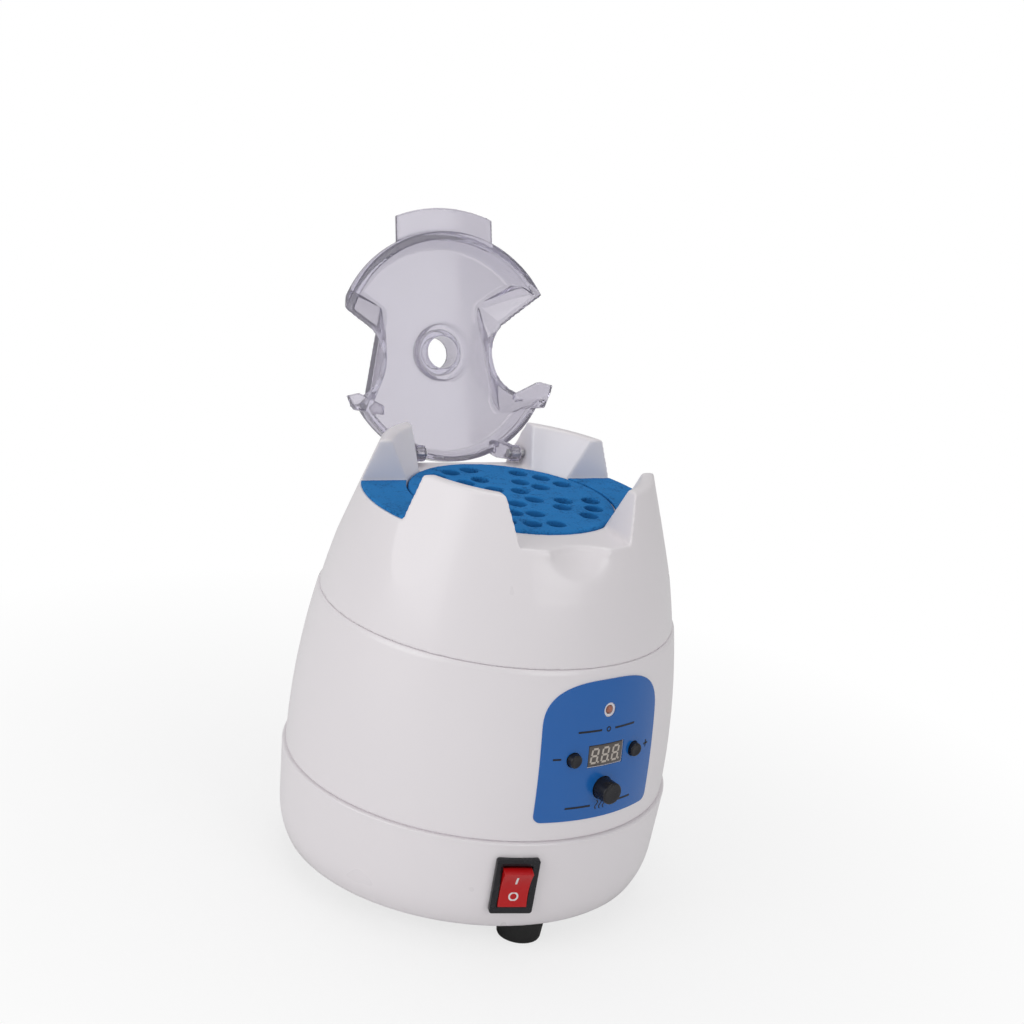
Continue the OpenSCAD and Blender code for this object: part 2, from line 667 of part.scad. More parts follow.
// ---------- lid ----------
hinge_z = ledge_z + hinge_up;
lid_z = crown_top + lid_gap;
pin_from = arm_x - arm_t / 2 - 0.8;
pin_proud = 0.4;        // how far a pin reaches past the lug's wall
pin_to = notch_half_top + wall + pin_proud;
arm_r = 3;
arm_half = 2.4;
arm_join = 5.5;          // how far an arm reaches under the lid's back edge
tab_corner = 4;
tab_up = rim_h - tab_t;

// Axis of the hinge, as a frame whose Z is +X
module hinge_line() translate([0, hinge_back, hinge_z]) rotate([0, 90, 0]) children();
// Turns the closed lid back to the open stop
module opened() translate([0, hinge_back, hinge_z]) rotate([-open_angle, 0, 0])
    translate([0, -hinge_back, -hinge_z]) children();
module half_space(front) translate([-big, front ? rim_end - 2 * big : rim_end, -big])
    cube([2 * big, 2 * big, 2 * big]);

// Points of a notch drawn for the right side, put in place; side is 1 or -1
function on_side(side, out, points) = [for (p = points)
    side > 0 ? p : [-p[0] - out, p[1] + lid_left_back]];
// Outline of a side notch at the rim, grown by a wall's thickness; the left one is shallower
function notch_rim(side, grow) = on_side(side, lid_left_out, [
    for (a = steps(100, 225, 12)) [
        lid_notch_x + (lid_notch_r + grow) * cos(a), 1 + (lid_notch_r + grow) * sin(a)],
    [lid_r - 6.8, -lid_notch_r - 5.4 - grow], [lid_r + 12, -lid_notch_r - 19 - grow],
    [lid_r + 12, lid_notch_r - 6 + grow]]);
// The same notch where it meets the plate: wider, with straight edges
function notch_plate(side, grow) = on_side(side, lid_left_plate_out, [
    [lid_notch_x - 15.9 - grow, -18.3 - grow], [lid_notch_x + 4.1, -26.8 - grow],
    [lid_r + 12, -37 - grow], [lid_r + 12, 21.6 + grow],
    [lid_notch_x - 7.6 - grow, 21.6 + grow]]);
// The space of a side notch, from just under the rim to just above the plate
module notch_space(side, grow) translate([0, 0, lid_z]) hull() {
    translate([0, 0, -0.1]) linear_extrude(0.1) polygon(notch_rim(side, grow));
    translate([0, 0, lid_h]) linear_extrude(0.1) polygon(notch_plate(side, grow));
}
// The hooked tip that closes each notch at the back
module hook(side) intersection() {
    translate([0, side < 0 ? 2 * lid_left_back : 0, lid_z]) linear_extrude(tab_up) polygon([
        [side * (lid_notch_x - 5), lid_notch_r + 0.6], [side * (lid_notch_x + 4.9), lid_notch_r - 3.9],
        [side * (lid_r - 1.6), lid_notch_r - 2.6], [side * (lid_r - 2.2), lid_notch_r + 1.5],
        [side * (lid_notch_x - 5), lid_notch_r + 4]]);
    translate([0, 0, lid_z]) cylinder(h = rim_h, r = lid_r);
}

module lid_outside() {
    intersection() {
        translate([0, 0, lid_z]) rotate_extrude() polygon([[0, 0], [lid_r - 0.5, 0], [lid_r, 0.5],
            [lid_r, rim_h - 0.6], [lid_r - 0.4, rim_h], [lid_plate_r, lid_h - 0.5],
            [lid_plate_r - 0.8, lid_h], [0, lid_h]]);
        half_space(true);
    }
    intersection() {
        translate([0, 0, lid_z]) rotate_extrude() polygon([[0, 0], [lid_back_r, 0],
            [lid_back_r, rim_h + 1.5], [lid_back_r - 1.4, lid_h - 0.5], [lid_back_r - 2, lid_h], [0, lid_h]]);
        half_space(false);
    }
    // front tab
    intersection() {
        translate([0, 0, lid_z + tab_up]) cylinder(h = tab_t, r = tab_reach);
        translate([0, -tab_reach + tab_corner + 4, lid_z + tab_up]) linear_extrude(tab_t)
            rounded_rectangle(2 * tab_half, 2 * tab_corner + 10, tab_corner);
    }
    // collar round the middle hole
    translate([0, 0, lid_z]) cylinder(h = lid_h + collar_h, r = collar_r);
}
module lid_hollow() difference() {
    union() {
        intersection() {
            translate([0, 0, lid_z - 1]) rotate_extrude() polygon([[0, 0], [rim_in, 0], [rim_in, 4],
                [rim_in - 2, lid_h - lid_t + 1], [0, lid_h - lid_t + 1]]);
            half_space(true);
        }
        intersection() {
            translate([0, 0, lid_z - 1]) rotate_extrude() polygon([[0, 0], [lid_back_r - lid_t, 0],
                [lid_back_r - lid_t, rim_h], [lid_back_r - lid_t - 1.8, lid_h - lid_t + 1],
                [0, lid_h - lid_t + 1]]);
            translate([0, -0.01, 0]) half_space(false);
        }
    }
    for (side = [-1, 1]) notch_space(side, lid_t);
    // the step round the hole, under the plate
    translate([0, 0, lid_z + lid_h - lid_t - 1]) cylinder(h = 3, r = lid_step_r);
}
// A hinge arm: a boss on the pin, carried by a strip under the lid's back edge
module hinge_arm(side) translate([side * arm_x - arm_t / 2, 0, 0]) {
    translate([0, hinge_back, hinge_z]) rotate([0, 90, 0]) cylinder(h = arm_t, r = arm_r, $fn = 48);
    rotate([90, 0, 90]) linear_extrude(arm_t) polygon([
        [hinge_back - arm_half, hinge_z], [hinge_back + arm_half, hinge_z],
        [hinge_back + 1.2, lid_z + 0.2], [hinge_back - 0.4, lid_z + rim_h],
        [hinge_back - arm_join, lid_z + rim_h], [hinge_back - arm_join, lid_z + 1]]);
}
module lid() color([0.85, 0.83, 0.92, 0.5]) opened() difference() {
    union() {
        difference() {
            lid_outside();
            lid_hollow();
            for (side = [-1, 1]) notch_space(side, 0);
        }
        for (side = [-1, 1]) {
            hook(side);
            hinge_arm(side);
        }
    }
    translate([0, 0, lid_z - 1]) cylinder(h = lid_h + collar_h + 2, r = lid_hole_r);
    hinge_line() translate([0, 0, -big / 2]) cylinder(h = big, r = pin_r + running_gap, $fn = 48);
}
module hinge_pins() color("silver") for (side = [-1, 1]) hinge_line()
    mirror([0, 0, side < 0 ? 1 : 0]) translate([0, 0, pin_from])
        cylinder(h = pin_to - pin_from, r = pin_r, $fn = 48);

// ---------- control panel ----------
led_r = 1.5;
led_rim = 1;
window_gap = 0.2;
label_corner = 2.5;
label_arch = 16.8;       // height of the arch over the straight sides
label_arch_power = 2.7;  // how square the arch is
// Outline of the blue panel: straight sides, round lower corners, a squarish arch on top
module label_plan() polygon(concat(
    arc_points([label_corner - label_w / 2, label_corner], label_corner, 180, 270, 6),
    arc_points([label_w / 2 - label_corner, label_corner], label_corner, 270, 360, 6),
    [for (a = steps(0, 180, 36)) [
        sign(cos(a)) * label_w / 2 * pow(abs(cos(a)), 2 / label_arch_power),
        label_h - label_arch + label_arch * pow(sin(a), 2 / label_arch_power)]]));

module panel_label() color("#2a62a8") difference() {
    intersection() {
        rotate_extrude() polygon(concat(
            [for (z = steps(label_z - 1, label_z + label_h + 1, profile_steps)) [band_at(z) + label_t, z]],
            [for (z = steps(label_z + label_h + 1, label_z - 1, profile_steps)) [band_at(z) + 0.02, z]]));
        facing(panel_az) translate([0, 0, label_z]) translate([0, -board_face, 0]) rotate([90, 0, 0])
            linear_extrude(big) label_plan();
    }
    facing(panel_az) {
        panel_holes(button_gap);
        translate([0, 0, led_z]) rod(board_face, base_r + 5, led_r + led_rim);
    }
}
module control_board() color("#1f6b3a") facing(panel_az) difference() {
    translate([0, 0, board_z]) block(board_w, board_h, board_face - board_t, board_face);
    board_places() rod(board_face - board_t - 1, board_face + 1, board_screw_r + 0.2);
}
module board_screw_set() board_places() {
    rod(board_face - board_t - 1.4, board_face - board_t, 2.4);
    rod(board_face - board_t - eps, board_face + 4.5, board_screw_r);
}
module board_screws() color("silver") facing(panel_az) board_screw_set();
module power_board_screws() color("silver") facing(180) board_screw_set();

module_rim = 2.5;
module_w = display_w + 2 * module_rim;
module_h = display_h + 1.2 * module_rim;
module_gap = 1.3;       // gap between the display module and the wall
module_face = band_at(display_z) - wall - module_gap;
module display_module() color("#3a3330") facing(panel_az) translate([0, 0, display_z])
    block(module_w, module_h, board_face, module_face);
module display_window() color("#8f8378") intersection() {
    facing(panel_az) translate([0, 0, display_z])
        block(display_w, display_h, module_face, base_r + 5);
    rotate_extrude() polygon(concat([[0, display_z - display_h]],
        [for (z = steps(display_z - display_h, display_z + display_h, 6)) [band_at(z) + label_t / 2, z]],
        [[0, display_z + display_h]]));
}
module indicator_led() {
    shoulder = board_face + 1.5;
    neck = band_at(led_z) - 0.6;
    dome = [for (a = [0:9:90]) [led_r * cos(a), neck + led_r * sin(a)]];
    profile = concat(
        [[0, board_face], [led_r + 0.3, board_face], [led_r + 0.3, shoulder], [led_r, shoulder]],
        [for (i = [0:9]) dome[i]],
        [[0, neck + led_r]]
    );
    color("#c8503c") facing(panel_az) translate([0, 0, led_z]) rotate([90, 0, 0])
        rotate_extrude($fn = 48) polygon(profile);
}

// ---------- buttons ----------
push_top = board_face + push_t;
push_side = 6;
stem_r = 1.4;
stem_end = board_face + 2.4;
bore_end = board_face + 0.9;

module push_places() {
    for (side = [-1, 1]) translate([side * step_x, 0, step_z]) children();
    translate([0, 0, heat_z]) children();
}
module push_switches() color("#202226") facing(panel_az) push_places() difference() {
    block(push_side, push_side, board_face, push_top);
    rod(bore_end, push_top + 1, stem_r + running_gap);
}
// A button with its stem and the flange that keeps it in
module button(x, z, r, out) facing(panel_az) translate([x, 0, z]) {
    face = sqrt(pow(band_at(z), 2) - x * x) + label_t + out;
    rod(stem_end, cap_from + eps, stem_r);
    rod(cap_from, cap_from + cap_flange_t, r + cap_flange);
    rod(cap_from + eps, face - 0.6, r);
    translate([0, -(face - 0.6 - eps), 0]) rotate([90, 0, 0]) cylinder(h = 0.6, r1 = r, r2 = r - 0.6);
}
module minus_button() color("#18181a") button(-step_x, step_z, step_r, step_out);
module plus_button() color("#18181a") button(step_x, step_z, step_r, step_out);
module heating_button() color("#18181a") button(0, heat_z, heat_r, heat_out);
module controller_chip() color("#202226") facing(panel_az) translate([0, 0, led_z - 7.5])
    block(9, 7, board_face - board_t - 2, board_face - board_t);

// ---------- rocker switch ----------
body_w = bezel_w - 2.2;
body_h = bezel_h - 2.4;
bezel_back = base_at(switch_z) - 0.5;
bezel_face = bezel_back + bezel_t;
switch_lean = atan(base_draft / base_h);
pivot_s = bezel_face - 1.6;       // distance of the rocker's axis from the housing's axis
rocker_gap = 0.3;
rocker_back = 4.6;
trunnion_r = 1;
terminal_w = 4.8;
terminal_t = 0.8;
terminal_pitch = 6;
terminal_end = (fan_side / 2 + terminal_gap + terminal_w / 2 * sin(abs(switch_az))) / cos(switch_az)
    + terminal_pitch * sin(switch_lean);
switch_depth = bezel_back - terminal_end - terminal_len;

module rocker_cavity() {
    reach = rocker_h / 2 + 0.9;
    block(rocker_w + 2 * rocker_gap, 2 * reach, pivot_s - rocker_back - 1.2, bezel_face + 1);
}
// The switch lies flat on the wall, which leans out
module switch_seat() facing(switch_az) translate([0, -bezel_back, switch_z])
    rotate([switch_lean, 0, 0]) translate([0, bezel_back, 0]) children();
module switch_body() color("#141416") switch_seat() difference() {
    union() {
        rounded_block(bezel_w, bezel_h, 1, bezel_back, bezel_face);
        block(body_w, body_h, bezel_back - switch_depth, bezel_back + eps);
    }
    rocker_cavity();
    translate([-rocker_w / 2 - 1, -pivot_s, 0]) rotate([0, 90, 0])
        cylinder(h = rocker_w + 2, r = trunnion_r + running_gap, $fn = 48);
}
// Side view of the rocker, level, with its pivot at the origin: x outwards, y up
module rocker_side() {
    half = rocker_h / 2;
    polygon(concat(
        [[-rocker_back + 1.4, -half + 1.6], [0, -half], [3.4, -half + 0.1]],
        [for (t = steps(-1, 1, 12)) [1.9 + 1.5 * t * t, t * (half - 0.15)]],
        [[3.4, half - 0.1], [0, half], [-rocker_back + 1.4, half - 1.6]]));
}
module switch_rocker() color("#cf2a22") switch_seat() translate([0, -pivot_s, 0]) {
    rotate([rocker_tilt, 0, 0]) translate([-rocker_w / 2, 0, 0]) rotate([90, 0, 90])
        linear_extrude(rocker_w) mirror([1, 0]) rocker_side();
    translate([-rocker_w / 2 - 0.8, 0, 0]) rotate([0, 90, 0])
        cylinder(h = rocker_w + 1.6, r = trunnion_r, $fn = 48);
}
module switch_terminals() color("#d0a850") switch_seat() for (i = [-1:1])
    translate([0, 0, terminal_pitch * i])
        block(terminal_w, terminal_t, terminal_end, bezel_back - switch_depth);

// ---------- power inlet ----------
inlet_z = switch_z;
inlet_body_w = inlet_w - 4;
inlet_body_h = inlet_h - 4;
inlet_back = base_at(inlet_z) - 2.2;
inlet_face = inlet_back + 3.6;
socket_w = inlet_body_w - 2.6;
socket_h = inlet_body_h - 2.6;
socket_deep = inlet_depth - 1;
inlet_screw_r = 1.1;
pin_w = 2;
pin_h = 4;
pin_out = 3;            // how far behind the inlet's face its pins end
pin_fan_gap = 4;        // gap between their inner ends and the fan
pins_from = fan_side / 2 + pin_fan_gap;
pin_step = 7;
pin_rise = 2;
inlet_ears = inlet_w / 2 + 4;
inlet_ear_r = 3.5;
inlet_ear_in = 0.6;
module inlet_screw_places() for (side = [-1, 1]) translate([side * inlet_ears, 0, inlet_z]) children();
module power_inlet() color("#141416") facing(180) difference() {
    union() {
        translate([0, 0, inlet_z]) rounded_block(inlet_w, inlet_h, 1.5, inlet_back, inlet_face);
        difference() {
            translate([0, 0, inlet_z])
                rounded_block(2 * (inlet_ears + inlet_ear_r), 9, inlet_ear_r,
                    base_at(inlet_z) - 5.2, inlet_face - inlet_ear_in);
            rotate_extrude() polygon(concat([[0, 0]],
                [for (z = steps(0, base_h, 8)) [base_at(z) + 0.05, z]], [[0, base_h]]));
        }
        translate([0, 0, inlet_z])
            block(inlet_body_w, inlet_body_h, inlet_face - inlet_depth - 2, inlet_face - 1);
    }
    translate([0, 0, inlet_z]) block(socket_w, socket_h, inlet_face - socket_deep, inlet_face + 1);
    inlet_screw_places() rod(inlet_face - 12, inlet_face + 1, inlet_screw_r + 0.1);
    inlet_pin_set();
}
module inlet_pin_set() translate([0, 0, inlet_z]) {
    for (x = [-pin_step, pin_step]) translate([x, 0, -pin_rise])
        block(pin_w, pin_h, pins_from, inlet_face - pin_out);
    translate([0, 0, pin_rise]) block(pin_w, pin_h, pins_from, inlet_face - pin_out);
}
module inlet_pins() color("#d0a850") facing(180) inlet_pin_set();
module inlet_screws() color("silver") facing(180) inlet_screw_places() {
    rod(inlet_face - inlet_ear_in, inlet_face + inlet_ear_in, 2 * inlet_screw_r);
    rod(inlet_face - 9, inlet_face - inlet_ear_in + eps, inlet_screw_r);
}

// ---------- power board, at the back of the middle ring ----------
module power_board() color("#1f6b3a") facing(180) difference() {
    translate([0, 0, board_z]) block(board_w, board_h, board_face - board_t, board_face);
    board_places() rod(board_face - board_t - 1, board_face + 1, board_screw_r + 0.2);
}
board_inner = board_face - board_t;
relay_w = 15;
relay_h = 19;
relay_t = 13;
relay_x = -6.5;
relay_up = 8;
capacitor_r = 5;
capacitor_h = 12;
capacitor_x = 10;
capacitor_up = 7;
clamp_w = 20;
clamp_h = 8;
clamp_t = 9;
clamp_down = 12;
module power_relay() color("#2f5f9f") facing(180) translate([relay_x, 0, board_z + relay_up])
    block(relay_w, relay_h, board_inner - relay_t, board_inner);
module power_capacitor() color("#303848")
    facing(180) translate([capacitor_x, 0, board_z + capacitor_up])
        rod(board_inner - capacitor_h, board_inner, capacitor_r);
module terminal_block() color("#3f8f5a") facing(180) translate([0, 0, board_z - clamp_down])
    block(clamp_w, clamp_h, board_inner - clamp_t, board_inner);

base_shell();
middle_band();
top_dome();
bottom_plate();
rubber_feet();
foot_screws();
plate_screws();
fan_frame();
fan_screws();
fan_motor();
fan_impeller();
air_duct();
heater_bracket();
heater_core();
heater_terminals();
thermal_cutoff();
temperature_probe();
diffuser_plate();
foam_pad();
pad_ear_left();
pad_ear_right();
lid();
hinge_pins();
panel_label();
control_board();
board_screws();
display_module();
display_window();
indicator_led();
push_switches();
controller_chip();
minus_button();
plus_button();
heating_button();
switch_body();
switch_rocker();
switch_terminals();
power_inlet();
inlet_pins();
inlet_screws();
power_board();
power_board_screws();
power_relay();
power_capacitor();
terminal_block();
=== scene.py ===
# %% [markdown]
# # An eyeglass frame warmer
# This lesson dresses a small shop device: a white three-storey housing with a foam pad on top,
# a clear hinged lid, a blue button panel and a red power switch. The shapes that move and fasten
# come from the CAD model. Here they get soft edges, printed marks and real-looking finishes.

# %% Load the CAD model
import bpy
import json
import math
from mathutils import Matrix, Vector

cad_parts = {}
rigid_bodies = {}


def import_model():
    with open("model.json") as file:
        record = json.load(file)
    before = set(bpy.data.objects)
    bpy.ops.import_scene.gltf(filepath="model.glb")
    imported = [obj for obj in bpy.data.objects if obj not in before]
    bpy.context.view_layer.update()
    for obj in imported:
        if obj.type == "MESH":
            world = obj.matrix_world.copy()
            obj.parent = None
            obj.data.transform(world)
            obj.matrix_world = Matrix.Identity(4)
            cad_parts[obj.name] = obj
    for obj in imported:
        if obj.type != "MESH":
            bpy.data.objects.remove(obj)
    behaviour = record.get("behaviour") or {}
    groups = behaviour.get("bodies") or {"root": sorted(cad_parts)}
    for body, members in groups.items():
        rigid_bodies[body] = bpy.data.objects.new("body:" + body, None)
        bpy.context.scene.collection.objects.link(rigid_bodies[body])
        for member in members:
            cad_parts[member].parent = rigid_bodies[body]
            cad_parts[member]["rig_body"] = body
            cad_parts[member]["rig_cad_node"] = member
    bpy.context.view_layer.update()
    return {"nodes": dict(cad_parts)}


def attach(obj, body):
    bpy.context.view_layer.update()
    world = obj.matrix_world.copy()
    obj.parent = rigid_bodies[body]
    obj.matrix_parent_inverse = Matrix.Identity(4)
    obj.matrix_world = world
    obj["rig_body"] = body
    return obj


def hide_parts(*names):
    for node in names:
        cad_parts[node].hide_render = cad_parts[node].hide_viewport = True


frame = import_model()
nodes = frame["nodes"]
scene = bpy.context.scene
MM = 0.001

# %% [markdown]
# The camera stands where the photographer stood: to the left of the device's front, a little
# above it, and rolled by a few degrees. Three unit vectors say which way its right, its top and
# its back point, and together they are the columns of its rotation.

# %% Camera
CAMERA_PLACE = Vector((-324.485, -594.584, 343.367)) * MM
CAMERA_RIGHT = Vector((0.88903897, -0.4361945, 0.13908298))
CAMERA_TOP = Vector((0.01623122, 0.33362439, 0.94256634))
CAMERA_BACK = Vector((-0.45754373, -0.83572072, 0.30368505))
CAMERA_LENS = 71.21

camera_data = bpy.data.cameras.new("camera")
camera = bpy.data.objects.new("camera", camera_data)
scene.collection.objects.link(camera)
camera_turn = Matrix((CAMERA_RIGHT, CAMERA_TOP, CAMERA_BACK)).transposed().to_4x4()
camera.matrix_world = Matrix.Translation(CAMERA_PLACE) @ camera_turn
camera_data.lens = CAMERA_LENS
camera_data.sensor_width = 36.0
camera_data.clip_start = 0.01
camera_data.clip_end = 50.0
scene.camera = camera
print("camera stands", round(CAMERA_PLACE.length, 3), "m from the origin")

# %% [markdown]
# The sizes below are the housing's own, in millimetres. Each ring of the housing has an outline
# that is a short formula, so the same formula places the panel, the marks and the buttons on it.

# %% Sizes and outlines
BASE_TOP = 34.2
BASE_R = 70             # at the top of the base ring
BASE_TAPER = 2.3        # how much narrower the base is at its foot
FOOT_ROUND = 3.1        # how far the lowest part curves in
FOOT_ROUND_TOP = 14
BAND_TOP = 94.4
BAND_R = 68.8           # at the middle ring's widest height
BAND_WIDEST = 42.2
BAND_TAPER = 5.0        # how much narrower the middle ring is at its top
BAND_REACH = 52.2       # from its widest height to its top
FLOOR_Z = -8.0
PANEL_AZ = 11.6         # azimuths are in degrees, from the front
SWITCH_AZ = -12.0
LABEL_T = 0.4           # thickness of the panel's film
JOIN = 0.002            # points of a CAD mesh that are closer than this are one point
JOIN_FINE = 0.001       # the same for new meshes
RING_TURNS = 192


def base_r(z):
    """Outer radius of the base ring at height z."""
    curved_in = FOOT_ROUND * max(0, 1 - z / FOOT_ROUND_TOP) ** 2.5
    return BASE_R - BASE_TAPER * (1 - z / BASE_TOP) - curved_in


def band_r(z):
    """Outer radius of the middle ring at height z."""
    return BAND_R - BAND_TAPER * ((z - BAND_WIDEST) / BAND_REACH) ** 2


def band_lean(z):
    """How far the middle ring's wall leans in at height z, as an angle."""
    return math.atan(2 * BAND_TAPER * (z - BAND_WIDEST) / BAND_REACH ** 2)


def steps(first, last, count):
    """Evenly spaced values from first to last."""
    return [first + (last - first) * i / count for i in range(count + 1)]


def corner(centre, radius, first, last, count=5):
    """Points on an arc, for a rounded corner of an outline; angles in degrees."""
    angles = [math.radians(a) for a in steps(first, last, count)]
    return [(centre[0] + radius * math.cos(a), centre[1] + radius * math.sin(a)) for a in angles]


def facing(azimuth):
    """Turns what is built facing the front to an azimuth, in degrees."""
    return Matrix.Rotation(math.radians(azimuth), 4, "Z")


def shift(x, y, z):
    """A move in millimetres."""
    return Matrix.Translation((x * MM, y * MM, z * MM))


# %% [markdown]
# A few helpers do what a hand would do in the window: pick one object, apply its modifiers, join
# doubled points, round the edges, and cut one shape with another. Blender's operators act on
# whatever is selected, so each helper first lets go of everything else.

# %% Helpers for modelling
def pick(piece):
    """Selects one object and nothing else."""
    bpy.ops.object.select_all(action="DESELECT")
    piece.select_set(True)
    bpy.context.view_layer.objects.active = piece


def settle(piece, place=None):
    """Writes a piece's place into its mesh, and then carries the mesh to a new place."""
    pick(piece)
    bpy.ops.object.transform_apply(location=True, rotation=True, scale=True)
    if place is not None:
        piece.data.transform(place)
    return piece


def tidy_mesh(piece):
    """Joins doubled points and turns all faces outwards."""
    pick(piece)
    bpy.ops.object.mode_set(mode="EDIT")
    bpy.ops.mesh.select_all(action="SELECT")
    bpy.ops.mesh.remove_doubles(threshold=JOIN_FINE * MM)
    bpy.ops.mesh.normals_make_consistent(inside=False)
    bpy.ops.object.mode_set(mode="OBJECT")
    return piece


def use_modifier(piece, kind, **values):
    """Adds a modifier, sets its values and applies it."""
    modifier = piece.modifiers.new(kind.lower(), kind)
    for name, value in values.items():
        setattr(modifier, name, value)
    pick(piece)
    bpy.ops.object.modifier_apply(modifier=modifier.name)
    return piece


def smooth(piece, angle=35):
    """Smooth shading, with creases kept at edges sharper than the angle."""
    pick(piece)
    bpy.ops.object.shade_smooth_by_angle(angle=math.radians(angle))
    return piece


def round_edges(piece, width, segments=3, angle=40):
    """Rounds every edge that is sharper than the angle."""
    use_modifier(
        piece,
        "BEVEL",
        width=width * MM,
        segments=segments,
        limit_method="ANGLE",
        angle_limit=math.radians(angle),
        miter_outer="MITER_ARC",
    )
    return piece


def cut(piece, *cutters):
    """Cuts the cutters' shapes out of a piece and deletes them."""
    for cutter in cutters:
        use_modifier(piece, "BOOLEAN", operation="DIFFERENCE", solver="EXACT", object=cutter)
        bpy.data.objects.remove(cutter)
    return piece


def copy_of(node, name):
    """A copy of a CAD piece as one connected mesh, free to be shaped."""
    piece = nodes[node].copy()
    piece.data = nodes[node].data.copy()
    piece.data.materials.clear()
    piece.name = name
    piece.parent = None
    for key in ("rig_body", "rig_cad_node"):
        if key in piece:
            del piece[key]
    scene.collection.objects.link(piece)
    pick(piece)
    bpy.ops.object.mode_set(mode="EDIT")
    bpy.ops.mesh.select_all(action="SELECT")
    bpy.ops.mesh.remove_doubles(threshold=JOIN * MM)
    bpy.ops.object.mode_set(mode="OBJECT")
    return piece


def softened(node, name, width, angle=40):
    """A copy of a flat-sided CAD piece with rounded edges."""
    piece = copy_of(node, name)
    bpy.ops.object.mode_set(mode="EDIT")
    bpy.ops.mesh.select_all(action="SELECT")
    bpy.ops.mesh.dissolve_limited(angle_limit=math.radians(0.6))
    bpy.ops.object.mode_set(mode="OBJECT")
    round_edges(piece, width, 2, angle)
    return smooth(piece, angle)


def block(name, size, centre=(0, 0, 0)):
    """A box of a size, in millimetres, at a place."""
    bpy.ops.mesh.primitive_cube_add(size=1, location=Vector(centre) * MM)
    piece = bpy.context.object
    piece.name = name
    piece.dimensions = Vector(size) * MM
    return settle(piece)


def rod(name, radius, length, centre=(0, 0, 0), vertices=48):
    """An upright round rod."""
    bpy.ops.mesh.primitive_cylinder_add(
        vertices=vertices, radius=radius * MM, depth=length * MM, location=Vector(centre) * MM
    )
    piece = bpy.context.object
    piece.name = name
    return settle(piece)


def drawn(name, points):
    """Draws an open line in edit mode: one point, extruded again and again."""
    bpy.ops.object.select_all(action="DESELECT")
    bpy.ops.mesh.primitive_plane_add(size=MM, enter_editmode=True)
    bpy.ops.mesh.merge(type="CENTER")
    bpy.ops.transform.translate(value=Vector(points[0]) * MM)
    for here, there in zip(points, points[1:]):
        move = (Vector(there) - Vector(here)) * MM
        bpy.ops.mesh.extrude_region_move(TRANSFORM_OT_translate={"value": move})
    bpy.ops.object.mode_set(mode="OBJECT")
    piece = bpy.context.object
    piece.name = name
    return piece


def line_ends(piece):
    """Selects the two ends of a drawn line."""
    met = [0] * len(piece.data.vertices)
    for edge in piece.data.edges:
        for number in edge.vertices:
            met[number] += 1
    for edge in piece.data.edges:
        edge.select = False
    for vertex in piece.data.vertices:
        vertex.select = met[vertex.index] == 1


def turned(name, outline, turns=96, sweep=360):
    """Spins an outline of (radius, height) points about the vertical axis."""
    piece = drawn(name, [(r, 0, z) for r, z in outline])
    full = sweep == 360
    if full:
        line_ends(piece)
    bpy.ops.object.mode_set(mode="EDIT")
    bpy.ops.mesh.select_mode(type="VERT")
    if not full:
        bpy.ops.mesh.select_all(action="SELECT")
    if not full or outline[0][0] > 0.001:
        bpy.ops.mesh.edge_face_add()
    bpy.ops.mesh.select_all(action="SELECT")
    bpy.ops.mesh.spin(steps=turns, angle=math.radians(sweep), center=(0, 0, 0), axis=(0, 0, 1))
    bpy.ops.object.mode_set(mode="OBJECT")
    return tidy_mesh(piece)


def slab(name, outline, front, back):
    """An outline of (across, up) points, filled and pushed from one depth to another."""
    piece = drawn(name, [(x, front, z) for x, z in outline])
    bpy.ops.object.mode_set(mode="EDIT")
    bpy.ops.mesh.select_all(action="SELECT")
    bpy.ops.mesh.edge_face_add()
    move = Vector((0, back - front, 0)) * MM
    bpy.ops.mesh.extrude_region_move(TRANSFORM_OT_translate={"value": move})
    bpy.ops.object.mode_set(mode="OBJECT")
    return tidy_mesh(piece)


OUTWARDS = Matrix.Rotation(math.radians(90), 4, "X")    # turns +Z to the front

# %% [markdown]
# ## Finishes
# Every finish starts from one shader group. Real moulded plastic is never one flat value: its
# colour drifts a little, its gloss has faint clouds and its skin has a very fine grain. Hands wear
# the edges first, so the group also finds them: where a rounded normal differs from the real one
# there is an edge, and noise breaks it into patches. Each material sets its own colours and gloss.

# %% Shader group for moulded surfaces
def new_group(name, inputs, outputs):
    """An empty shader group with named sockets."""
    group = bpy.data.node_groups.new(name, "ShaderNodeTree")
    for label, kind in inputs:
        group.interface.new_socket(name=label, in_out="INPUT", socket_type=kind)
    for label, kind in outputs:
        group.interface.new_socket(name=label, in_out="OUTPUT", socket_type=kind)
    return group


surface_group = new_group(
    "moulded_surface",
    [
        ("Colour", "NodeSocketColor"),
        ("Second Colour", "NodeSocketColor"),
        ("Cloud Scale", "NodeSocketFloat"),
        ("Grain Scale", "NodeSocketFloat"),
        ("Gloss Low", "NodeSocketFloat"),
        ("Gloss High", "NodeSocketFloat"),
        ("Edge Colour", "NodeSocketColor"),
        ("Edge Wear", "NodeSocketFloat"),
    ],
    [
        ("Colour", "NodeSocketColor"),
        ("Roughness", "NodeSocketFloat"),
        ("Height", "NodeSocketFloat"),
    ],
)
EDGE_WIDTH = 0.45       # how wide a worn edge is
EDGE_RUB = 0.25         # how much rougher a worn edge is


